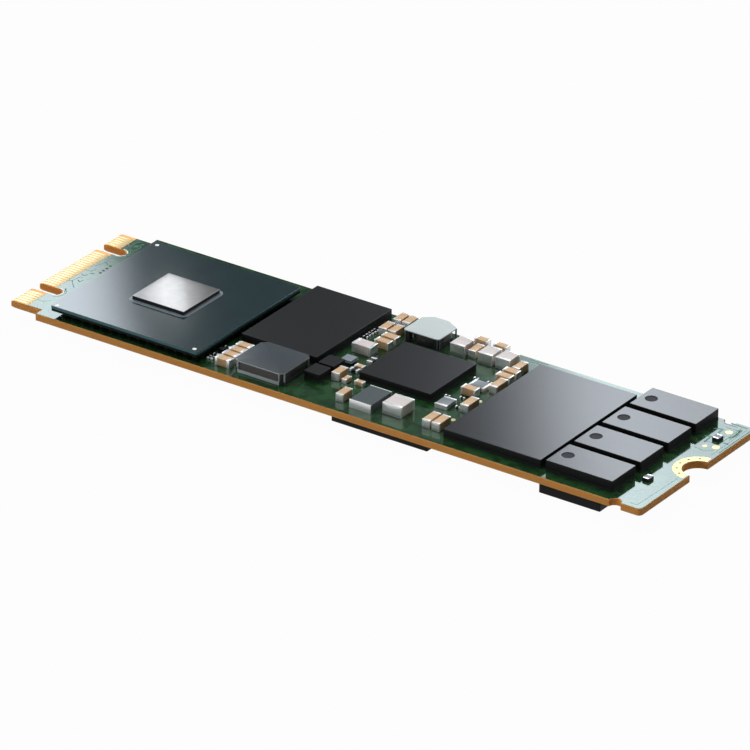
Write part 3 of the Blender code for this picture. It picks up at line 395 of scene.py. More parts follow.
def rounded_outline(
    low: np.ndarray, high: np.ndarray, radius: float, steps: int = 5, side: int = 2
) -> np.ndarray:
    """Outline of a rectangle with round corners, anticlockwise.

    Each corner is its centre, one radius in from both sides, plus the radius times the cosine and sine of an
    angle that sweeps a quarter turn. The sides between have points at equal parts of their length.

    Args:
        low: the rectangle's lowest corner, X and Y.
        high: its highest corner.
        radius: the corner radius.
        steps: points on each corner.
        side: points on each side between the corners.

    Returns:
        The outline's points, as points by two.
    """
    radius = max(radius, 1e-4)
    turn = np.radians(np.arange(4)[:, None] * 90 + np.linspace(0, 90, steps)[None, :])
    signs = np.array([(1, 1), (-1, 1), (-1, -1), (1, -1)])
    centre = np.where(signs > 0, high[:2] - radius, low[:2] + radius)[:, None, :]
    corner = centre + radius * np.stack([np.cos(turn), np.sin(turn)], axis=-1)
    start, stop = corner[:, -1], np.roll(corner[:, 0], -1, axis=0)
    part = (np.arange(side + 2)[1:-1] / (side + 1))[None, :, None]
    between = start[:, None] + (stop - start)[:, None] * part
    return np.concatenate([corner, between], axis=1).reshape(-1, 2)


def rounded_end(height: float, inset: float, radius: float, steps: int = 4) -> list[tuple[float, float]]:
    """Profile of an edge rounded by a quarter circle, ending on a flat that keeps the shading level.

    The inset grows by radius times one minus the cosine, and the height by radius times the sine.

    Args:
        height: the height of the flat.
        inset: how far in the wall stands.
        radius: the rounding.
        steps: parts of the quarter circle.

    Returns:
        Pairs of inset and height.
    """
    turn = np.linspace(0, math.pi / 2, steps + 1)
    insets, heights = inset + radius * (1 - np.cos(turn)), height - radius * (1 - np.sin(turn))
    return [*zip(insets.tolist(), heights.tolist()), (inset + 1.4 * radius, height)]


def slab(
    box: Box, profile: list[tuple[float, float]], corner: float, hang: bool = False,
    steps: int = 5, side: int = 2,
) -> np.ndarray:
    """A profile of insets and heights carried round a rounded rectangle.

    Args:
        box: the rectangle's corners, and its seat: the lowest Z, or the highest where the slab hangs.
        profile: pairs of inset from the box and height above the seat, from the seat outwards.
        corner: the corner radius at no inset.
        hang: whether heights count downwards.
        steps: points on each corner.
        side: points on each side between the corners.

    Returns:
        The rows of points, from the seat outwards.
    """
    low, high = box
    rows = []
    for inset, height in profile:
        outline = rounded_outline(low[:2] + inset, high[:2] - inset, corner - inset, steps, side)
        level = high[2] - height if hang else low[2] + height
        rows.append(np.column_stack([outline, np.full(len(outline), level)]))
    return np.array(rows)[:, ::-1] if hang else np.array(rows)


def disc(centre: tuple[float, float], radius: float, low: float, high: float, sides: int = 20) -> np.ndarray:
    """A round pad with a softened rim.

    It has circles of the radius at low and a little below high, and a smaller circle at high.

    Args:
        centre: X and Y of the pad's middle.
        radius: the pad's radius.
        low: the pad's lower level.
        high: its upper level.
        sides: points on each circle.

    Returns:
        Three rows of points.
    """
    turn = np.linspace(0, 2 * math.pi, sides, endpoint=False)
    circle = np.column_stack([np.cos(turn), np.sin(turn)])
    soft = min(0.3 * radius, high - low)
    rows = [(radius, low), (radius, high - 0.5 * soft), (radius - 0.4 * soft, high)]
    return np.array([np.column_stack([circle * r + centre, np.full(sides, z)]) for r, z in rows])


def ribbon(path: np.ndarray, width: float, low: float, high: float) -> np.ndarray:
    """A flat strip along a path on the card.

    Each point is moved half the width to both sides, along the sum of the two neighbouring sides' normals
    over one plus their product, which keeps the width at a bend.

    Args:
        path: the path's points, as points by two.
        width: the strip's width.
        low: the strip's lower level.
        high: its upper level.

    Returns:
        Rows of four points, one row for each point of the path.
    """
    step = np.diff(path, axis=0)
    normal = np.column_stack([-step[:, 1], step[:, 0]]) / np.linalg.norm(step, axis=1)[:, None]
    before, after = np.vstack([normal[:1], normal]), np.vstack([normal, normal[-1:]])
    mitre = (before + after) / (1 + (before * after).sum(axis=1))[:, None] * width / 2
    right, left = path - mitre, path + mitre
    inner_right, inner_left = path - 0.7 * mitre, path + 0.7 * mitre
    base, top = np.full((len(path), 1), low), np.full((len(path), 1), high)
    corners = (left, base), (right, base), (inner_right, top), (inner_left, top)
    return np.stack([np.hstack(pair) for pair in corners], axis=1)[:, ::-1]


# The card

# Tracks under the mask by the fingers and by the screw seat: the points of each, X and Y, and its width.
TRACKS = (
    (((-37.8, -2.75), (-37.5, -2.4), (-37.1, -2.9), (-36.3, -3.7)), 0.13),
    (((-37.5, -2.35), (-37.3, -1.1), (-36.9, -1.3)), 0.1),
    (((-37.65, -0.5), (-37.2, -0.75), (-36.95, -0.3)), 0.14),
    (((-37.75, 0.5), (-37.15, 0.6), (-37.1, 1.3)), 0.12),
    (((-37.6, 1.9), (-37.3, 2.8), (-37.2, 3.7), (-36.6, 3.65)), 0.12),
    (((-37.75, 4.4), (-37.35, 4.1), (-37.0, 4.9)), 0.12),
    (((-37.6, 7.3), (-37.2, 7.8), (-37.4, 9.0), (-36.9, 9.5)), 0.14),
    (((-37.0, 7.4), (-36.4, 7.1), (-36.2, 8.3), (-36.6, 8.9)), 0.12),
    (((-37.7, 9.4), (-37.3, 9.7)), 0.2),
    (((-37.8, -8.2), (-37.0, -8.2), (-36.5, -7.6)), 0.1),
    (((38.3, -10.25), (39.0, -10.35), (39.15, -10.2), (39.35, -3.0)), 0.07),
    (((39.35, 3.3), (39.35, 10.2)), 0.07),
    (((38.7, 5.9), (38.7, 10.3)), 0.12),
    (((37.3, 9.5), (38.9, 9.6), (39.1, 7.2)), 0.1),
    (((36.6, 10.2), (38.2, 10.2)), 0.14),
    (((37.0, 5.6), (38.2, 5.9), (38.3, 7.6), (37.4, 7.9)), 0.1),
    (((36.9, 3.9), (38.2, 3.7), (39.0, 4.3)), 0.1),
    (((39.75, 4.2), (39.75, 10.3)), 0.16),
    (((38.9, 9.9), (39.1, 8.4), (38.8, 7.6)), 0.4),
    (((36.3, 8.6), (37.2, 8.9), (37.3, 8.0)), 0.34),
    (((36.4, 6.6), (37.1, 6.9), (37.2, 5.4)), 0.26),
    (((38.9, 6.4), (39.5, 6.4)), 0.3),
    (((37.2, 10.6), (39.2, 10.5)), 0.22),
    (((-36.9, 8.0), (-36.4, 9.2)), 0.3),
    (((-37.7, 8.2), (-37.4, 7.9)), 0.2),
    (((-36.2, 5.4), (-36.6, 6.2), (-36.1, 6.6)), 0.16),
    (((-37.2, 3.2), (-36.7, 2.9)), 0.26),
    (((-36.9, -4.3), (-36.5, -5.2)), 0.14),
    (((-37.1, -1.9), (-36.7, -2.2), (-36.6, -1.6)), 0.14),
    (((-37.0, 0.1), (-36.6, 0.4)), 0.24),
    (((12.2, 9.9), (13.1, 10.3), (14.2, 10.2)), 0.16),
    (((12.3, 10.6), (14.6, 10.65)), 0.14),
    (((13.9, 9.3), (14.4, 9.0), (15.6, 9.2)), 0.14),
)


@dataclass
class CircuitCard:
    """The laminate card with its solder mask, plated contacts, tracks and the smallest chips."""

    length: float = 80.0
    half_width: float = 11.0
    tongue_half: float = 9.9
    shoulder: float = -36.0
    bottom: float = 1.22
    top: float = 2.02
    mask: float = 0.02
    slot_ends: tuple[tuple[float, float], ...] = ((5.3, 6.8), (-6.3, -4.8))
    slot_depth: float = 3.35
    bevel_run: float = 0.45
    bevel_drop: float = 0.12
    notch_place: float = 36.9
    notch_radius: float = 0.7
    corner_radius: float = 0.5
    hole_radius: float = 1.75
    ring_outer: float = 2.75
    edge_break: float = 0.03
    finger_width: float = 0.36
    finger_pitch: float = 0.5
    tab_starts: tuple[float, ...] = (-9.9, -4.8, 6.8)
    tab_fingers: tuple[int, ...] = (6, 19, 5)
    first_finger: tuple[float, float] = (0.375, 0.625)
    mask_start: float = -37.9
    probe_pads: tuple[tuple[float, float, float], ...] = (
        (38.1, 8.7, 0.42), (37.7, 4.7, 0.3), (38.8, 5.1, 0.42), (13.45, -5.6, 0.3), (13.35, -0.5, 0.3),
    )
    stub_vias: tuple[tuple[float, float], ...] = ((-36.15, 0.85), (-36.2, 1.45), (-36.2, 2.1), (-36.25, 2.8))

    @property
    def seat(self) -> float:
        """Where the parts stand: on the mask."""
        return self.top + self.mask

    def outline(self, tip: float) -> np.ndarray:
        """The card's outline, anticlockwise, with its leading edge at a given place along X.

        Straight sides run between arcs: two key slots with round ends, two edge notches, two rounded corners
        and the half-round screw hole, each its centre plus its radius times the cosine and sine of its sweep.

        Args:
            tip: X of the leading edge.

        Returns:
            The points, as points by two.
        """
        end, half, tongue = self.length / 2, self.half_width, self.tongue_half

        def arc(x: float, y: float, radius: float, start: float, stop: float, steps: int = 12) -> np.ndarray:
            """Points on a circle round (x, y) from one angle to another, in degrees."""
            turn = np.radians(np.linspace(start, stop, steps))
            return np.column_stack([x + radius * np.cos(turn), y + radius * np.sin(turn)])

        corner, notch = self.corner_radius, self.notch_radius
        parts = [
            [(tip, -tongue), (self.shoulder, -tongue), (self.shoulder, -half)],
            arc(self.notch_place, -half, notch, 180, 0),
            arc(end - corner, corner - half, corner, -90, 0),
            arc(end, 0, self.hole_radius, 270, 90, 28),
            arc(end - corner, half - corner, corner, 0, 90),
            arc(self.notch_place, half, notch, 0, -180),
            [(self.shoulder, half), (self.shoulder, tongue), (tip, tongue)],
        ]
        for low, high in self.slot_ends:
            radius = (high - low) / 2
            inner = -end + self.slot_depth - radius
            parts += [[(tip, high)], arc(inner, (low + high) / 2, radius, 90, -90), [(tip, low)]]
        return np.vstack(parts)

    def layer(self, profile: list[tuple[float, float, float]]) -> np.ndarray:
        """Carry a profile round the card's outline.

        Args:
            profile: triples of inset, level and leading edge.

        Returns:
            The rows of points. An inset moves each point along its mitre, as a ribbon's is.
        """
        rows = []
        for inset, level, tip in profile:
            outline = self.outline(tip)
            step = np.roll(outline, -1, axis=0) - outline
            normal = np.column_stack([-step[:, 1], step[:, 0]]) / np.linalg.norm(step, axis=1)[:, None]
            before = np.roll(normal, 1, axis=0)
            mitre = (before + normal) / (1 + (before * normal).sum(axis=1))[:, None]
            rows.append(np.column_stack([outline + inset * mitre, np.full(len(outline), level)]))
        return np.array(rows)

    def build_core(self) -> None:
        """The laminate slab: its outline at six levels, with the leading edge drawn back above and below."""
        tip, back = -self.length / 2, -self.length / 2 + self.bevel_run
        break_, drop = self.edge_break, self.bevel_drop
        near = back - self.bevel_run * break_ / drop
        shell = Shell()
        profile = [
            (break_, self.bottom, back), (0.0, self.bottom + break_, near), (0.0, self.bottom + drop, tip),
            (0.0, self.top - drop, tip), (0.0, self.top - break_, near), (break_, self.top, back),
        ]
        shell.add(self.layer(profile), ends=Ends.FACE)
        shell.place("card_core", (LAMINATE,), "mask_laminate", ("circuit_board",), 25.0)

    def build_masks(self) -> None:
        """The mask skins above and below, which stop short of the fingers and leave the seat bare."""
        start, edge = self.mask_start, 0.05
        shell = Shell()
        shell.add(self.layer([
            (edge, self.top - 0.01, start), (edge, self.seat - 0.008, start),
            (edge + 0.012, self.seat, start),
        ]), ends=Ends.FACE)
        shell.place("upper_mask", (MASK,), "mask_laminate", ("circuit_board",), 25.0)
        shell = Shell()
        low = self.bottom - self.mask
        shell.add(self.layer([
            (edge + 0.012, low, start), (edge, low + 0.008, start), (edge, self.bottom + 0.01, start),
        ]), ends=Ends.FACE)
        shell.place("lower_mask", (MASK,), "mask_laminate", ("circuit_board",), 25.0)

    def finger_places(self, above: bool) -> np.ndarray:
        """Where the fingers of one side stand, counted up from each tab's near edge.

        Every tab has one finger fewer below than above.

        Args:
            above: whether it is the upper side.

        Returns:
            Y of every finger.
        """
        start, fewer = (self.first_finger[0], 0) if above else (self.first_finger[1], 1)
        runs = [
            edge + start + self.finger_pitch * np.arange(count - fewer)
            for edge, count in zip(self.tab_starts, self.tab_fingers)
        ]
        return np.concatenate(runs)

    def build_fingers(self) -> None:
        """The gold contact fingers, each a thin strip that runs level and then down the bevel to the tip.

        The lower ones are the upper ones' mirror image in the middle of the card's thickness, turned
        outwards.
        """
        shell = Shell()
        stop = self.mask_start + 0.03
        tip, back = -self.length / 2 + 0.03, -self.length / 2 + self.bevel_run
        stations = np.array([stop, stop - 0.05, back + 0.02, back - 0.03, tip])
        level = self.top + np.array([0.006, 0.024, 0.024, 0.008, 0.024 - self.bevel_drop])
        for above in (True, False):
            for place in self.finger_places(above):
                half = self.finger_width / 2
                sides = np.array([(half, -0.03), (half - 0.02, 0.0), (0.02 - half, 0.0), (-half, -0.03)])
                rows = np.empty((5, 4, 3))
                rows[..., 0] = stations[:, None]
                rows[..., 1] = place + sides[None, :, 0]
                rows[..., 2] = level[:, None] + sides[None, :, 1]
                if not above:
                    rows[..., 2] = self.top + self.bottom - rows[..., 2]
                    rows = rows[:, ::-1]
                shell.add(rows[:, ::-1], ends=Ends.FACE)
        shell.place("contact_fingers", (GOLD,), "mask_laminate", ("circuit_board",))

    def build_seat(self) -> None:
        """The screw seat: half rings of plated copper above and below, with five filled holes in each."""
        shell = Shell()
        hole = 1
        end, inner, outer = self.length / 2, self.hole_radius + 0.05, self.ring_outer
        turn = np.radians(np.linspace(95, 265, 40))
        for low, high in ((self.seat - 0.01, self.seat + 0.01), (self.bottom - 0.03, self.bottom - 0.01)):
            section = [(outer, low), (outer, high), (inner, high), (inner, low)]
            rings = [
                np.column_stack([end + r * np.cos(turn), r * np.sin(turn), np.full(len(turn), z)])
                for r, z in section
            ]
            shell.add(np.stack(rings, axis=1)[:, ::-1], ends=Ends.FACE)
            for angle in np.radians(np.arange(120, 241, 30)):
                radius = (inner + outer) / 2
                centre = (end + radius * math.cos(angle), radius * math.sin(angle))
                shell.add(disc(centre, 0.13, low - 0.002, high + 0.003, 14), hole)
        shell.place("screw_seat", (GOLD, VIA), "mask_laminate", ("circuit_board",))

    def build_probe_pads(self) -> None:
        """Round gold pads that a test probe lands on."""
        shell = Shell()
        for x, y, radius in self.probe_pads:
            shell.add(disc((x, y), radius, self.top, self.seat + 0.01, 28))
        shell.place("probe_pads", (GOLD,), "mask_laminate", ("circuit_board",))

    def build_tracks(self) -> None:
        """Copper tracks under the mask: by the fingers, along the far edge and by the screw seat."""
        shell = Shell()
        masked, inked, hole = range(3)
        low, high = self.seat - 0.01, self.seat + 0.006
        for points, width in TRACKS:
            shell.add(ribbon(np.array(points), width, low, high), ends=Ends.FACE)
        for lane in range(3):
            y = 9.35 + 0.4 * lane
            run = np.array([(-14.0 + lane, y), (-5.5 - lane, y), (-5.0 - lane, y + 0.3), (11.0, y + 0.3)])
            shell.add(ribbon(run, 0.12, low, high), ends=Ends.FACE)
            run = np.array([(14.5, 9.3 + 0.45 * lane), (26.0 - lane, 9.3 + 0.45 * lane)])
            shell.add(ribbon(run, 0.12, low, high), ends=Ends.FACE)
        radius = (self.slot_ends[0][1] - self.slot_ends[0][0]) / 2
        centre = -self.length / 2 + self.slot_depth - radius
        arcs = (0.14, 0.14, -85, 95, inked), (0.42, 0.12, -70, 70, masked)
        for y in ((near + far) / 2 for near, far in self.slot_ends):
            for grown, width, start, stop, finish in arcs:
                turn = np.radians(np.linspace(start, stop, 16))
                ring = np.column_stack([np.cos(turn), np.sin(turn)]) * (radius + grown) + (centre, y)
                shell.add(ribbon(ring, width, low, high), finish, Ends.FACE)
        for x, y in self.stub_vias:
            shell.add(disc((x, y), 0.17, low, high + 0.004, 12), hole)
        shell.place("masked_tracks", (MASKED_COPPER, INK, VIA), "mask_laminate", ("circuit_board",))

    def build(self) -> None:
        """Build and dress the whole card."""
        self.build_core()
        self.build_masks()
        self.build_fingers()
        self.build_seat()
        self.build_probe_pads()
        self.build_tracks()


# Parts on the card


@dataclass
class MouldedPackage:
    """A moulded package: a thin sawn substrate, the moulding a little inside it, and a round mark on some."""

    node: str
    finish: Finish
    slot: str
    hang: bool = False
    mark: bool = False
    substrate: float = 0.2
    inset: float = 0.03
    corner: float = 0.12
    edge: float = 0.045
    mark_radius: float = 0.65
    mark_inset: float = 1.3
    mark_depth: float = 0.05

    def build(self) -> None:
        """Carry the package's profile round its outline, and sink the mark into its top.

        The mark's circles have one point for each point of the outline, at the angle at which the mark's
        centre sees it.
        """
        low, high = box_of(self.node)
        height = float(high[2] - low[2])
        top_face, sawn_base, dimple, wall = range(4)
        base, inset = self.substrate, self.inset
        profile = [
            (0.015, 0.0), (0.0, 0.015), (0.0, base - 0.012), (0.012, base),
            (inset, base), (inset, base + 0.03),
        ]
        sides = len(profile) - 2
        profile += rounded_end(height, inset, self.edge)
        rows = slab((low, high), profile, self.corner, self.hang, side=14 if self.mark else 2)
        count = np.arange(len(rows) - 1)
        # The ledge and the moulding's sides take the darker wall finish: painted shade on the package's
        # sides.
        finish = np.where(count < sides - 1, sawn_base, np.where(count < sides + 2, wall, top_face))
        if self.mark:
            centre = np.array([low[0] + self.mark_inset, (low[1] + high[1]) / 2])
            sight = rows[-1, :, :2] - centre
            sight /= np.linalg.norm(sight, axis=1)[:, None]
            width = len(sight)
            top, down = rows[-1, 0, 2], (1 if self.hang else -1) * self.mark_depth
            steps = ((0.1, 0.0), (0.04, 0.0), (0.012, 0.1), (-0.01, 0.6), (-0.04, 1.0), (-0.3, 1.0))
            rings = [
                np.column_stack([centre + sight * (self.mark_radius + r), np.full(width, top + down * z)])
                for r, z in steps
            ]
            rows = np.concatenate([rows, np.array(rings)])
            # The dimple's sloping sides take the wall finish as well: painted shade in the recess.
            finish = np.append(finish, [top_face, top_face, wall, wall, dimple, dimple])
        shell = Shell()
        shell.add(rows, finish)
        finishes = (self.finish, SUBSTRATE, PIN_MARK, SAWN_EPOXY_IN_SHADE)
        shell.place(f"{self.node}_moulding", finishes, self.slot, (self.node,), 35.0)


@dataclass
class Solder:
    """Every solder joint of the chips: a pad and a concave fillet at each end."""

    shell: Shell = field(default_factory=Shell)
    reach: float = 0.04
    inside: float = 0.1

    def add(self, end: np.ndarray, outward: np.ndarray, width: float, height: float, down: bool) -> None:
        """Add one fillet: rectangles that shrink towards the wall as the square of the height still left.

        Args:
            end: the middle of the foot of the chip's end face.
            outward: the direction away from the chip, X and Y.
            width: the chip's width.
            height: how high the solder climbs.
            down: whether it hangs from the underside.
        """
        side = np.array([-outward[1], outward[0]])
        rows = []
        for part in np.linspace(0, 1, 6):
            out = self.reach * (1 - part) ** 2
            half = width / 2 * (0.98 - 0.1 * part)
            corners = [(out, -half), (out, half), (-self.inside, half), (-self.inside, -half)]
            flat = np.array([end[:2] + outward * o + side * s for o, s in corners])
            level = end[2] + (-1 if down else 1) * (part * height - 0.015)
            rows.append(np.column_stack([flat, np.full(4, level)]))
        grid = np.array(rows)
        self.shell.add(grid[:, ::-1] if down else grid, ends=Ends.FACE)

    def build(self) -> None:
        """Make every joint gathered so far into one piece."""
        self.shell.place("solder_joints", (SOLDER,), "tan_ceramic", (), 50.0)


@dataclass
class ChipPart:
    """A chip part: a ceramic block with tinned bands round both ends."""

    name: str
    box: Box
    band: float
    finish: Finish
    slot: str
    node: str | None = None
    hang: bool = False
    edge: float = 0.05
    proud: float = 0.012
    wetting: float = 0.22

    def grid(self) -> tuple[np.ndarray, np.ndarray]:
        """Carry the chip's section along its longer side.

        The section is a rounded rectangle, drawn in along a quarter circle at both ends and by the bands'
        height between them.

        Returns:
            The rows of points, and the finish number for each gap between rows.
        """
        low, high = self.box
        size = high - low
        turned = bool(size[1] > size[0])
        length, width = (size[1], size[0]) if turned else (size[0], size[1])
        edge = min(self.edge, 0.18 * float(min(width, size[2])))
        turn = np.linspace(0, math.pi / 2, 4)
        start = [(edge * (1 - math.cos(a)), edge * (1 - math.sin(a))) for a in turn]
        start += [(self.band - 0.02, 0.0), (self.band, self.proud * 0.6), (self.band + 0.02, self.proud)]
        stations = start + [(length - place, inset) for place, inset in reversed(start)]
        rows = []
        for place, inset in stations:
            least = np.array([-width / 2 + inset, inset])
            most = np.array([width / 2 - inset, size[2] - inset])
            section = rounded_outline(least, most, edge, 4, 0)
            rows.append(np.column_stack([np.full(len(section), place - length / 2), section]))
        local = np.array(rows)
        middle = (low + high) / 2
        along, across, up = local[..., 0], local[..., 1], local[..., 2]
        level = high[2] - up if self.hang else low[2] + up
        x, y = (middle[0] - across, middle[1] + along) if turned else (middle[0] + along, middle[1] + across)
        grid = np.stack([x, y, level], axis=-1)
        bands = len(start) - 1
        count = np.arange(len(rows) - 1)
        body, tinned = range(2)
        finish = np.where((count < bands) | (count >= len(rows) - 1 - bands), tinned, body)
        return (grid[:, ::-1] if self.hang else grid), finish

    def build(self, solder: Solder) -> None:
        """Build the chip as a piece of its own, with its two solder joints.

        Args:
            solder: where the joints are gathered.
        """
        own = Shell()
        own.add(*self.grid())
        low, high = self.box
        size, middle = high - low, (low + high) / 2
        axis = 1 if size[1] > size[0] else 0
        for sign in (-1, 1):
            outward = np.zeros(2)
            outward[axis] = sign
            foot = np.array([middle[0], middle[1], high[2] if self.hang else low[2]])
            foot[axis] = (high if sign > 0 else low)[axis]
            solder.add(foot, outward, float(size[1 - axis]), float(size[2]) * self.wetting, self.hang)
        own.place(self.name, (self.finish, TIN), self.slot, (self.node,) if self.node else ())


class ChipKind(Enum):
    """Kinds of chip with a node of their own: node prefix, band, ceramic and slot."""

    BULK = ("bulk_capacitor", 0.32, TAN_CERAMIC, "tan_ceramic")
    STRIP = ("strip_capacitor", 0.2, TAN_CERAMIC, "tan_ceramic")
    EDGE = ("edge_capacitor", 0.18, TAN_CERAMIC, "tan_ceramic")
    RAIL = ("rail_capacitor", 0.2, TAN_CERAMIC, "tan_ceramic")
    SMALL = ("small_capacitor", 0.18, TAN_CERAMIC, "tan_ceramic")
    UNDER = ("under_capacitor", 0.3, TAN_CERAMIC, "tan_ceramic")
    SLIM = ("slim_capacitor", 0.3, PALE_CERAMIC, "pale_ceramic")
    WIDE = ("wide_capacitor", 0.25, PALE_CERAMIC, "pale_ceramic")
    BROAD = ("broad_capacitor", 0.3, PALE_CERAMIC, "pale_ceramic")
    SENSE = ("sense_resistor", 0.25, GREY_CERAMIC, "grey_ceramic")


@dataclass
class TinyChips:
    """The smallest chips, which are fused to the card in the solids: left, right, near, far and height."""

    seat: float = 2.04
    band_share: float = 0.23
    spots: tuple[tuple[float, float, float, float, float], ...] = (
        (-15.2, -14.6, -5.95, -5.65, 0.25), (-15.2, -14.6, -8.05, -7.75, 0.25),
        (-15.25, -14.95, -9.1, -8.5, 0.25), (-14.8, -14.5, -9.1, -8.5, 0.25),
        (-4.8, -4.2, 6.45, 6.75, 0.25), (-4.8, -4.2, 5.95, 6.25, 0.25), (-4.8, -4.2, 5.45, 5.75, 0.25),
        (-4.8, -4.2, 4.95, 5.25, 0.25), (-4.8, -4.2, 4.45, 4.75, 0.25),
        (-1.1, -0.48, -0.2, 0.9, 0.35), (-1.55, -0.45, -2.76, -2.14, 0.35),
        (10.0, 10.6, 3.25, 3.55, 0.25), (11.7, 12.3, 3.25, 3.55, 0.25), (11.3, 11.9, -1.25, -0.95, 0.25),
        (9.8, 10.4, -1.8, -1.5, 0.25), (12.1, 12.7, -3.25, -2.95, 0.25),
    )
    capped: tuple[tuple[float, float, float, float, float], ...] = (
        (37.575, 38.425, 6.2, 7.2, 0.38), (36.625, 37.475, -5.55, -4.55, 0.38),
    )

    def build(self) -> None:
        """Build every tiny chip into one piece; the two capped ones carry their tin on top alone, their ends
        black glaze as painted shade.
        """
        shell = Shell()
        for left, right, near, far, height in self.spots:
            box = (np.array([left, near, self.seat]), np.array([right, far, self.seat + height]))
            band = self.band_share * max(right - left, far - near)
            chip = ChipPart("tiny", box, band, BLACK_GLAZE, "mask_laminate", edge=0.03, proud=0.01)
            shell.add(*chip.grid())
        for left, right, near, far, height in self.capped:
            top = self.seat + height - 0.02
            box = (np.array([left, near + 0.05, self.seat]), np.array([right, far - 0.05, top]))
            shell.add(slab(box, [(0.02, 0.0), (0.0, 0.02), *rounded_end(height - 0.02, 0.0, 0.05)], 0.08))
            # The end blocks are black glaze where the tinned caps stand: painted shade, with tin left only on
            # top.
            for start in (near, far - 0.24):
                box = (np.array([left + 0.03, start, self.seat]), np.array([right - 0.03, start + 0.24, top]))
                shell.add(slab(box, [(0.0, 0.0), *rounded_end(height - 0.05, 0.0, 0.04)], 0.05))
                cap = (np.array([left + 0.1, start + 0.04, top]), np.array([right - 0.1, start + 0.2, top]))
                shell.add(slab(cap, [(0.0, -0.06), *rounded_end(0.02, 0.0, 0.015)], 0.04), 1)
        shell.place("tiny_chips", (BLACK_GLAZE, TIN), "mask_laminate", ("circuit_board",))


@dataclass
class FilterBlock:
    """The input filter: a slate block with a tinned plate over each end."""

    node: str = "input_filter"
    plate: float = 0.08
    lip: float = 0.05

    def build(self) -> None:
        """Carry the body's profile round its outline, and set a thin plate with a lip at each end of it."""
        low, high = box_of(self.node)
        height = float(high[2] - low[2])
        shell = Shell()
        inner = low + (0.02, self.plate, 0.0), high - (0.02, self.plate, 0.0)
        shell.add(slab(inner, [(0.01, 0.0), (0.0, 0.01), *rounded_end(height - 0.012, 0.0, 0.04)], 0.08), 0)
        reach = self.plate + self.lip
        for near, far in ((low[1], low[1] + reach), (high[1] - reach, high[1])):
            box = (np.array([low[0], near, low[2]]), np.array([high[0], far, high[2]]))
            shell.add(slab(box, [(0.0, 0.0), *rounded_end(height, 0.0, 0.03)], 0.04), 1)
        shell.place("filter_block", (FILTER_BODY, TIN), "grey_ceramic", (self.node,))


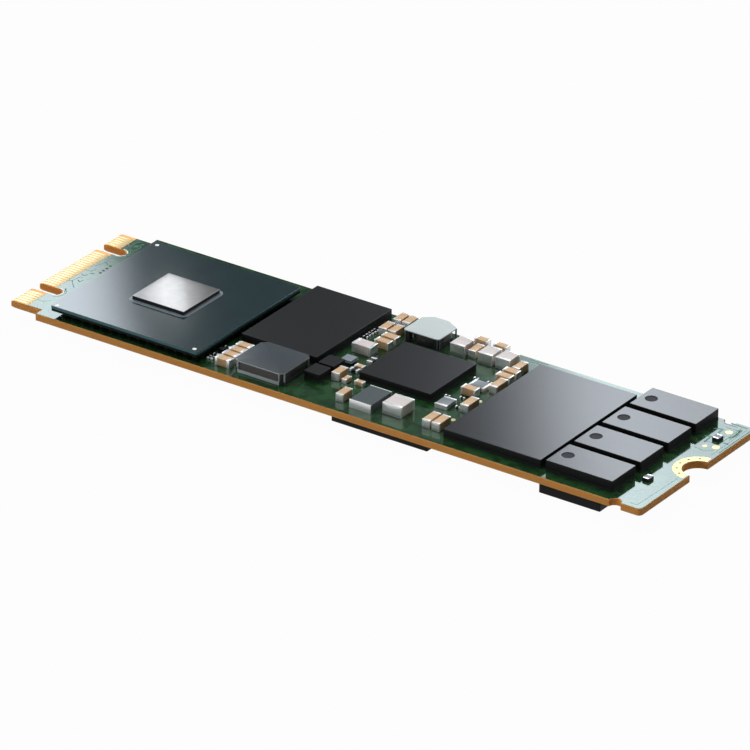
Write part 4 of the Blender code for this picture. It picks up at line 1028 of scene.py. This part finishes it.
@dataclass
class Controller:
    """The controller: a carrier on its solder balls, with a bare die and the resin round it.

    The balls stand on a square grid: full rows round its rim, and a block of them in its middle.
    """

    thickness: float = 0.6
    shade_share: float = 0.45
    ball_pitch: float = 1.2
    ball_radius: float = 0.33
    rows: int = 15
    ring_rows: int = 2
    core_rows: int = 3
    resin_start: float = 0.12
    resin_run: float = 0.54
    resin_climb: float = 0.12
    marks: tuple[tuple[float, float], ...] = ((-33.7, 7.8), (-33.8, -10.15), (-16.15, -10.0))

    def build_carrier(self) -> None:
        """The carrier slab: its profile carried round it, with a near-black lower part of painted shade
        standing in a little.
        """
        low, high = box_of("controller_carrier")
        seat = np.array([low[0], low[1], high[2] - self.thickness])
        shell = Shell()
        mask_face, edge_face, shade_face = range(3)
        core = self.shade_share * self.thickness
        profile = [(0.03, 0.0), (0.02, 0.03), (0.02, core), (0.0, core + 0.02)]
        profile += rounded_end(self.thickness, 0.0, 0.05)
        rows = slab((seat, high), profile, 0.25)
        count = np.arange(len(rows) - 1)
        finishes = (CARRIER, CARRIER_EDGE, CARRIER_SIDE_SHADE)
        # The rows up to core, the lower part of the side, are near black: painted shade for the shadowed gap
        # over the balls.
        shell.add(rows, np.where(count < 3, shade_face, np.where(count < 6, edge_face, mask_face)))
        shell.place("carrier_slab", finishes, "carrier_laminate", ("controller_carrier",), 30.0)

    def build_balls(self) -> None:
        """The solder balls: each a sphere flattened at both poles, from the card up to the carrier.

        Its radius at a height is the ball's radius times the root of one minus the square of three quarters
        of that height, which runs from minus one to one.
        """
        low, high = box_of("controller_carrier")
        balls = Shell()
        middle, height = (low + high) / 2, float(high[2] - self.thickness - low[2])
        index = np.arange(self.rows)
        steps = (index - (self.rows - 1) / 2) * self.ball_pitch
        edge = np.minimum(index, self.rows - 1 - index)
        core = np.abs(index - (self.rows - 1) / 2) <= self.core_rows / 2
        keep = (np.minimum(edge[:, None], edge[None, :]) < self.ring_rows) | (core[:, None] & core[None, :])
        sides = 10
        turn = np.linspace(0, 2 * math.pi, sides, endpoint=False)
        rise = np.linspace(-1, 1, 6)
        bulge = np.sqrt(1 - (0.75 * rise) ** 2) * self.ball_radius
        ring = np.stack([
            bulge[:, None] * np.cos(turn), bulge[:, None] * np.sin(turn),
            np.repeat((rise[:, None] + 1) / 2 * height, sides, axis=1),
        ], axis=-1)
        for row, column in np.argwhere(keep):
            balls.add(ring + (middle[0] + steps[row], middle[1] + steps[column], low[2]))
        balls.place("solder_balls", (SHADED_BALL_ALLOY,), "carrier_laminate", ("controller_carrier",))

    def build_die(self) -> None:
        """The die with sawn edges, and the resin's meniscus: a quarter circle drawn in as it climbs."""
        low, high = box_of("controller_die")
        height = float(high[2] - low[2])
        shell = Shell()
        profile = [(0.0, -0.02), (0.0, height - 0.02), (0.015, height), (0.05, height)]
        shell.add(slab((low, high), profile, 0.03, steps=2), np.array([1, 0, 0]))
        shell.place("silicon_die", (SILICON, SAWN_SILICON), "bare_silicon", ("controller_die",), 30.0)
        low, high = box_of("die_underfill")
        start, run, climb = self.resin_start, self.resin_run, self.resin_climb * float(high[2] - low[2])
        turn = np.linspace(0, math.pi / 2, 7)
        profile = [(float(start + run * math.sin(a)), float(climb * (1 - math.cos(a)))) for a in turn]
        shell = Shell()
        shell.add(slab((low, high), [(start, -0.02), *profile], 1.0, steps=8), ends=Ends.FACE)
        shell.place("underfill_fillet", (RESIN,), "underfill_resin", ("die_underfill",), 50.0)

    def build_marks(self) -> None:
        """Three white alignment dots on the carrier."""
        high = box_of("controller_carrier")[1]
        shell = Shell()
        for centre in self.marks:
            shell.add(disc(centre, 0.24, float(high[2]) - 0.01, float(high[2]) + 0.006, 24))
        shell.place("carrier_dots", (INK,), "carrier_laminate", ("controller_carrier",))

    def build(self) -> None:
        """Build and dress the whole controller."""
        self.build_carrier()
        self.build_balls()
        self.build_die()
        self.build_marks()


@dataclass(frozen=True)
class CoreLook:
    """Finishes of an inductor's core: its top, the rims, the lower flange and blocks, and the ribs."""

    top: Finish
    rim: Finish
    base: Finish
    post: Finish

    @property
    def finishes(self) -> tuple[Finish, ...]:
        """The four finishes, in the order in which the faces are numbered."""
        return self.top, self.rim, self.base, self.post


@dataclass
class WoundInductor:
    """A wound inductor: two flanges, a post at each corner and the winding between them.

    Its cuts say how far each corner is cut off along X and along Y: near left, near right, far right and
    far left.
    """

    name: str
    look: CoreLook
    slot: str
    cuts: tuple[tuple[float, float], ...]
    strip: bool = False
    lower: float = 0.3
    upper: float = 0.12
    turns: int = 5
    undercut: float = 0.02
    wire_inset: float = 0.09
    wire_depth: float = 0.7
    wire_corner: float = 0.9
    swell: float = 0.03
    rib_width: float = 0.1
    rib_reach: tuple[float, float] = (0.02, 0.2)
    block_share: float = 0.55
    block_depth: float = 0.5

    def flange(self, box: Box, base: float, top: float) -> np.ndarray:
        """One flange: a rectangle with cut corners, with its edges broken above and below.

        Args:
            box: the inductor's corners.
            base: the flange's lower level above the seat.
            top: its upper level.

        Returns:
            The rows of points.
        """
        low, high = box
        rows = []
        profile = (0.03, base), (0.0, base + 0.02), (0.0, top - 0.03), (0.01, top - 0.008), (0.04, top)
        for inset, level in profile:
            left, near, right, far = low[0] + inset, low[1] + inset, high[0] - inset, high[1] - inset
            near_left, near_right, far_right, far_left = self.cuts
            outline = np.array([
                (left + near_left[0], near), (right - near_right[0], near),
                (right, near + near_right[1]), (right, far - far_right[1]),
                (right - far_right[0], far), (left + far_left[0], far),
                (left, far - far_left[1]), (left, near + near_left[1]),
            ])
            rows.append(np.column_stack([outline, np.full(8, low[2] + level)]))
        return np.array(rows)

    def add_posts(self, shell: Shell, box: Box, height: float) -> None:
        """Add the posts: a dark block behind each cut corner, as painted shade, with a slim paler rib on both
        sides of the cut, as painted highlights on its edges.

        Args:
            shell: where they go.
            box: the inductor's corners.
            height: the inductor's height.
        """

        def span(start: float, way: int, first: float, last: float) -> list[float]:
            """The lower and the upper end of a stretch, from first to last inwards from a start."""
            return sorted((start + way * first, start + way * last))

        low, high = box
        base, tall = low[2] + 0.02, height - self.upper
        share, depth, wide = self.block_share, self.block_depth, self.rib_width
        block_face, rib_face = 2, 3
        corners = (
            (low[0], low[1], 1, 1), (high[0], low[1], -1, 1),
            (high[0], high[1], -1, -1), (low[0], high[1], 1, -1),
        )
        for (x, y, way_x, way_y), (along, back) in zip(corners, self.cuts):
            block = span(x, way_x, share * along, along + depth), span(y, way_y, share * back, back + depth)
            first_rib = span(x, way_x, along, along + wide), span(y, way_y, *self.rib_reach)
            second_rib = span(x, way_x, *self.rib_reach), span(y, way_y, back, back + wide)
            parts = (*block, block_face), (*first_rib, rib_face), (*second_rib, rib_face)
            for (left, right), (near, far), finish in parts:
                foot = np.array([left, near, base]), np.array([right, far, base])
                shell.add(slab(foot, [(0.0, 0.0), (0.0, tall)], 0.02, steps=3), finish)

    def build(self) -> None:
        """Build the core and its winding.

        The winding is a section carried round a rectangle with round corners. The section's outer side has
        one swell for each turn: the swell times the size of a sine.
        """
        low, high = box_of(f"{self.name}_core")
        height = float(high[2] - low[2])
        shell = Shell()
        top_face, rim_face, base_face = range(3)
        step = np.array([self.undercut, self.undercut, 0.0])
        shell.add(self.flange((low + step, high - step), 0.0, self.lower), base_face)
        rims = np.array([rim_face, rim_face, rim_face, top_face])
        shell.add(self.flange((low, high), height - self.upper, height), rims)
        self.add_posts(shell, (low, high), height)
        # On the near side alone, a pale strip along the foot in the rim's finish: a painted highlight.
        if self.strip:
            left, right = low[0] + self.cuts[0][0], high[0] - self.cuts[1][0]
            foot = np.array([left, low[1], low[2]]), np.array([right, low[1] + 0.3, low[2]])
            profile = [(0.0, 0.0), *rounded_end(self.lower + 0.01, 0.0, 0.03)]
            shell.add(slab(foot, profile, 0.04, steps=3), rim_face)
        shell.place(f"{self.name}_flanges", self.look.finishes, self.slot, (f"{self.name}_core",), 25.0)
        turns = np.linspace(0, self.turns, self.turns * 6 + 1)
        out = self.wire_inset + self.swell * (1 - np.abs(np.sin(turns * math.pi)))
        base, top = low[2] + self.lower - 0.02, high[2] - self.upper + 0.01
        level = base + (top - base) * turns / self.turns
        insets = np.concatenate([out, [self.wire_depth, self.wire_depth]])
        levels = np.concatenate([level, [top, base]])
        rings = [
            np.column_stack([outline, np.full(len(outline), z)])
            for inset, z in zip(insets, levels)
            for outline in [rounded_outline(low[:2] + inset, high[:2] - inset, self.wire_corner - inset, 8)]
        ]
        shell = Shell()
        shell.add(np.array(rings), ring=True)
        shell.place(f"{self.name}_wire", (ENAMEL,), "coil_enamel", (f"{self.name}_winding",), 60.0)


@dataclass
class ClockCrystal:
    """The clock crystal: a ceramic tray and a flat metal lid."""

    tray: float = 0.3
    lid_inset: float = 0.1

    def build(self) -> None:
        """Carry the tray's and the lid's profiles round their outlines."""
        low, high = box_of("clock_crystal")
        height = float(high[2] - low[2])
        shell = Shell()
        shell.add(slab((low, high), rounded_end(self.tray, 0.0, 0.03), 0.12), 1)
        lid = [(self.lid_inset, self.tray - 0.02), *rounded_end(height, self.lid_inset, 0.03)]
        shell.add(slab((low, high), lid, 0.14), 0)
        shell.place("crystal_can", (LID, GREY_CERAMIC), "crystal_lid", ("clock_crystal",))


# The studio


@dataclass(frozen=True)
class Softbox:
    """A patch of light on the studio's dome: bearing from +Y towards -X and elevation, in degrees."""

    bearing: tuple[float, float]
    elevation: tuple[float, float]
    level: float
    soft: float = 1.5


@dataclass(frozen=True)
class GradientCard:
    """A tall card behind the object that only its gloss sees.

    Its corners are places across it and up it in mm. Its stops are places across it, at the pivot's height,
    and the light there. The light's stripes lean, by the tilt for each mm of height.
    """

    name: str
    distance: float
    corners: tuple[tuple[float, float], ...]
    stops: tuple[tuple[float, float], ...]
    colour: str = "#EEF6FF"
    tilt: float = 0.16
    pivot: float = 43.0

    def build(self, azimuth: float) -> None:
        """Stand the card across the camera's mirror direction, with its light by the place along its width.

        Args:
            azimuth: the camera's azimuth in degrees.
        """
        turn = math.radians(azimuth)
        across, away = np.array([math.cos(turn), math.sin(turn)]), np.array([-math.sin(turn), math.cos(turn)])
        places = np.array(self.corners)
        corners = np.column_stack([away * self.distance + places[:, :1] * across, places[:, 1]]) * MM
        mesh = bpy.data.meshes.new(self.name)
        mesh.from_pydata(corners, [], [list(range(len(corners)))])
        made = bpy.data.materials.new(f"lit_{self.name}")
        tree = fresh_tree(made)
        most = max(level for _, level in self.stops)
        first, last = self.stops[0][0], self.stops[-1][0]
        stops = [((x - first) / (last - first), (*[level / most] * 3, 1.0)) for x, level in self.stops]
        place = add(tree, "ShaderNodeTexCoord", {})
        aim = {"operation": "DOT_PRODUCT", 1: (*across.tolist(), -self.tilt)}
        along = add(tree, "ShaderNodeVectorMath", aim, {0: place.outputs["Object"]})
        lean = self.tilt * self.pivot
        reach = {"From Min": (first - lean) * MM, "From Max": (last - lean) * MM}
        part = add(tree, "ShaderNodeMapRange", reach, {"Value": along.outputs["Value"]})
        shade = add(tree, "ShaderNodeValToRGB", {"stops": stops}, {"Fac": part.outputs["Result"]})
        level = add(tree, "ShaderNodeMath", {"operation": "MULTIPLY", 1: most}, {0: shade.outputs["Color"]})
        glow = add(tree, "ShaderNodeEmission", {"Color": linear(self.colour)}, {"Strength": level.outputs[0]})
        add(tree, "ShaderNodeOutputMaterial", {}, {"Surface": glow.outputs["Emission"]})
        mesh.materials.append(made)
        card = bpy.data.objects.new(self.name, mesh)
        bpy.context.scene.collection.objects.link(card)
        card.visible_camera = card.visible_diffuse = card.visible_shadow = card.visible_transmission = False


def upright(left: float, right: float, low: float, high: float) -> tuple[tuple[float, float], ...]:
    """Corners of an upright rectangle, across and up."""
    return (left, low), (right, low), (right, high), (left, high)


# A dark flag behind the middle of the drive, open to the white room on both sides.
FLAG = GradientCard("flag", 85.0, upright(-110, 110, 1, 150), (
    (-110, 1.0), (-34, 1.0), (-28, 0.7), (-25.8, 0.5), (-24.8, 0.4), (-22, 0.28), (-19, 0.16), (-15, 0.12),
    (-10, 0.12), (0, 0.16), (4, 0.24), (6.8, 0.3), (9, 0.36), (12, 0.7), (14, 1.0), (110, 1.0),
))
# A soft panel that lights the controller's carrier from the left.
LEFT_PANEL = GradientCard("left_panel", 84.0, upright(-62, -25, 20, 56), (
    (-62, 5.6), (-36, 5.9), (-33, 5.5), (-30, 3.9), (-29.2, 2.9), (-26.5, 0.8), (-25, 0.4),
))
# A soft panel that lights the storage package and the screw end from the right.
RIGHT_PANEL = GradientCard("right_panel", 84.0, upright(6, 62, 36, 80), (
    (6, 0.24), (9, 0.3), (11.6, 0.52), (12.9, 0.87), (14.2, 1.14), (15.1, 1.6), (18.4, 3.2), (20.4, 4.4),
    (23.2, 5.9), (25.8, 6.5), (29, 6.2), (32.5, 5.7), (35.7, 5.0), (62, 4.8),
))
# A small lit panel that only the bare die mirrors.
DIE_STOPS = (
    (-29, 0.4), (-27, 0.6), (-25.3, 1.15), (-23.6, 1.55), (-22.3, 1.45), (-21.5, 1.2), (-20.8, 0.75),
    (-20.0, 0.55), (-18.6, 0.3), (-15, 0.2),
)


@dataclass
class Studio:
    """A white floor, a dome of soft light, cards behind the object for its gloss, and the camera.

    The floor's size and the camera's clip are in metres. All else that has a length is in millimetres.
    """

    ambient: float = 0.07
    boxes: tuple[Softbox, ...] = (
        Softbox((-15.0, 120.0), (28.0, 68.0), 4.0, 8.0), Softbox((105.0, 179.0), (-6.0, 13.0), 1.9, 5.0),
    )
    floor_size: float = 3.0
    glow: float = 0.97
    floor_level: float = -0.02
    floor_colour: str = "#A4A4A4"
    lens: float = 432.4
    sensor: float = 36.0
    clip: tuple[float, float] = (0.005, 10.0)
    die_panel_distance: float = 83.0
    die_panel_margins: tuple[tuple[float, ...], tuple[float, ...]] = ((0.8, 0.1, 0.0), (0.1, 1.3, 0.0))
    camera_place: tuple[float, float, float] = (469.55, -696.04, 426.19)
    azimuth: float = 34.01
    elevation: float = 26.862
    roll: float = 0.845

    def build_world(self) -> None:
        """Light the dome: ambient, and brighter at each softbox, but plain white to the camera and to gloss.

        A softbox is its level times four smooth steps: up and down in bearing, and up and down in elevation.
        """
        world = bpy.data.worlds.new("studio")
        bpy.context.scene.world = world
        tree = fresh_tree(world)
        place = add(tree, "ShaderNodeTexCoord", {})
        split = add(tree, "ShaderNodeSeparateXYZ", {}, {"Vector": place.outputs["Generated"]})
        left = add(tree, "ShaderNodeMath", {"operation": "MULTIPLY", 1: -1.0}, {0: split.outputs["X"]})
        sides = {0: left.outputs[0], 1: split.outputs["Y"]}
        bearing = add(tree, "ShaderNodeMath", {"operation": "ARCTAN2"}, sides)
        bearing = add(tree, "ShaderNodeMath", {"operation": "DEGREES"}, {0: bearing.outputs[0]})
        rise = add(tree, "ShaderNodeMath", {"operation": "ARCSINE"}, {0: split.outputs["Z"]})
        rise = add(tree, "ShaderNodeMath", {"operation": "DEGREES"}, {0: rise.outputs[0]})

        def patch(box: Softbox, level: float) -> bpy.types.NodeSocket:
            """Add one patch of light, as a chain of smooth steps.

            Args:
                box: where the patch lies and how soft its edges are.
                level: its light.

            Returns:
                The output that carries the light.
            """
            source = None
            steps = (
                (bearing, box.bearing[0], 1), (bearing, box.bearing[1], -1),
                (rise, box.elevation[0], 1), (rise, box.elevation[1], -1),
            )
            for angle, edge, way in steps:
                settings = {
                    "interpolation_type": "SMOOTHSTEP",
                    "From Min": edge - way * box.soft, "From Max": edge + way * box.soft,
                    "To Min": 0.0, "To Max": level,
                }
                links = {"Value": angle.outputs[0]}
                if source:
                    links["To Max"] = source
                source = add(tree, "ShaderNodeMapRange", settings, links).outputs["Result"]
            return source

        total = None
        for box in self.boxes:
            settings = {"operation": "ADD", 1: self.ambient}
            links = {0: patch(box, box.level), **({1: total} if total else {})}
            total = add(tree, "ShaderNodeMath", settings, links).outputs[0]
        links = {"Value": plain_view(tree), "To Min": total}
        level = add(tree, "ShaderNodeMapRange", {"To Max": 1.0}, links)
        links = {"Strength": level.outputs["Result"]}
        light = add(tree, "ShaderNodeBackground", {"Color": (1, 1, 1, 1)}, links)
        add(tree, "ShaderNodeOutputWorld", {}, {"Surface": light.outputs["Background"]})

    def build_floor(self) -> None:
        """Lay a white floor that glows a little to the camera, so it stays white and keeps a soft shadow."""
        half = self.floor_size / 2
        mesh = bpy.data.meshes.new("studio_floor")
        level = self.floor_level * MM
        corners = [(x * half, y * half, level) for x, y in ((-1, -1), (1, -1), (1, 1), (-1, 1))]
        mesh.from_pydata(corners, [], [[0, 1, 2, 3]])
        made = bpy.data.materials.new("white_sweep")
        tree = fresh_tree(made)
        part = add(tree, "ShaderNodeMath", {"operation": "MULTIPLY", 1: self.glow}, {0: plain_view(tree)})
        matt = add(tree, "ShaderNodeBsdfDiffuse", {"Color": linear(self.floor_colour)})
        glow = add(tree, "ShaderNodeEmission", {"Color": (1, 1, 1, 1), "Strength": 1.0})
        mix = add(tree, "ShaderNodeMixShader", {}, {
            0: part.outputs[0], 1: matt.outputs["BSDF"], 2: glow.outputs["Emission"],
        })
        add(tree, "ShaderNodeOutputMaterial", {}, {"Surface": mix.outputs["Shader"]})
        mesh.materials.append(made)
        floor = bpy.data.objects.new("studio_floor", mesh)
        bpy.context.scene.collection.objects.link(floor)

    def build_camera(self) -> None:
        """Set the camera where the photograph's was: its back, right and up directions from three angles."""
        angles = self.azimuth, self.elevation, self.roll
        azimuth, elevation, roll = (math.radians(angle) for angle in angles)
        level = math.cos(elevation)
        back = Vector((math.sin(azimuth) * level, -math.cos(azimuth) * level, math.sin(elevation)))
        right = Vector((math.cos(azimuth), math.sin(azimuth), 0.0))
        up = back.cross(right)
        level_right = right * math.cos(roll) + up * math.sin(roll)
        level_up = up * math.cos(roll) - right * math.sin(roll)
        data = bpy.data.cameras.new("camera")
        data.lens, data.sensor_width, data.sensor_fit = self.lens, self.sensor, "HORIZONTAL"
        data.clip_start, data.clip_end = self.clip
        camera = bpy.data.objects.new("camera", data)
        turn = Matrix((level_right, level_up, back)).transposed().to_4x4()
        camera.matrix_world = Matrix.Translation(Vector(self.camera_place) * MM) @ turn
        bpy.context.scene.collection.objects.link(camera)
        bpy.context.scene.camera = camera

    def mirrored(self, box: Box, distance: float) -> tuple[tuple[float, float], ...]:
        """Where the camera sees a level top's four corners mirrored on a card.

        A corner lies u across and v away from the camera. Its image rises from the top by the tangent of the
        camera's elevation times what is left of the distance, and spreads by the ratio of the sight lines.

        Args:
            box: the corners of the piece with the top.
            distance: how far behind the origin the card stands.

        Returns:
            The four places on the card, across and up.
        """
        low, high = box
        turn, climb = math.radians(self.azimuth), math.radians(self.elevation)
        x, y = np.array([low[0], high[0], high[0], low[0]]), np.array([low[1], low[1], high[1], high[1]])
        u = x * math.cos(turn) + y * math.sin(turn)
        left = distance - (y * math.cos(turn) - x * math.sin(turn))
        sight = float(np.linalg.norm(self.camera_place))
        spread = 1 + left / math.cos(climb) / sight
        return tuple(zip((u * spread).tolist(), (high[2] + left * math.tan(climb)).tolist()))

    def build(self) -> None:
        """Build the whole studio."""
        bpy.context.scene.view_settings.view_transform = "Standard"
        self.build_world()
        self.build_floor()
        for card in (FLAG, LEFT_PANEL, RIGHT_PANEL):
            card.build(self.azimuth)
        low, high = box_of("controller_die")
        before, behind = self.die_panel_margins
        corners = self.mirrored((low - before, high + behind), self.die_panel_distance)
        GradientCard("die_panel", self.die_panel_distance, corners, DIE_STOPS, "#FFFFFF").build(self.azimuth)
        self.build_camera()


def build_packages() -> None:
    """Build every moulded package on both sides of the card."""
    for node in ("memory_package", "power_chip", "regulator_1", "regulator_2", "logic_chip"):
        MouldedPackage(node, EPOXY, "black_moulding").build()
    MouldedPackage("storage_package", SATIN_EPOXY, "grey_moulding").build()
    MouldedPackage("under_storage_package", SATIN_EPOXY, "grey_moulding", hang=True).build()
    for number in range(1, 5):
        MouldedPackage(f"reserve_capacitor_{number}", SATIN_EPOXY, "grey_moulding", mark=True).build()
        MouldedPackage(f"under_reserve_{number}", SATIN_EPOXY, "grey_moulding", hang=True, mark=True).build()


def build_chips() -> None:
    """Build every chip part and all the solder joints."""
    solder = Solder()
    for kind in ChipKind:
        prefix, band, finish, slot = kind.value
        for node in sorted(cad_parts):
            if node.startswith(prefix):
                hang = node.startswith("under")
                ChipPart(f"{node}_chip", box_of(node), band, finish, slot, node, hang).build(solder)
    TinyChips().build()
    solder.build()


def main() -> None:
    logging.basicConfig(level=logging.INFO, format="%(name)s %(message)s")
    CircuitCard().build()
    Controller().build()
    build_packages()
    # The dark inductor's pale rims and ribs, and the small one's grey ribs, are painted highlights on the
    # edges; the dark lower flanges and the blocks behind the cut corners are partly painted shade.
    dark = CoreLook(FERRITE, PALE_FERRITE_AND_HIGHLIGHT, DARK_FERRITE, PALE_FERRITE_AND_HIGHLIGHT)
    pale = CoreLook(PALE_FERRITE_AND_HIGHLIGHT, PALE_FERRITE_AND_HIGHLIGHT, DARK_FERRITE, GREY_CERAMIC)
    large_cuts = (0.45, 0.45), (0.45, 0.45), (0.5, 0.5), (0.65, 0.65)
    small_cuts = (0.2, 0.2), (0.2, 0.2), (1.6, 0.85), (1.15, 0.85)
    WoundInductor("large_inductor", dark, "dark_ferrite", large_cuts, strip=True).build()
    WoundInductor(
        "small_inductor", pale, "pale_ferrite", small_cuts,
        undercut=0.3, wire_inset=0.35, wire_depth=1.2, wire_corner=1.8,
    ).build()
    ClockCrystal().build()
    FilterBlock().build()
    build_chips()
    Studio().build()


if __name__ == "__main__":
    main()
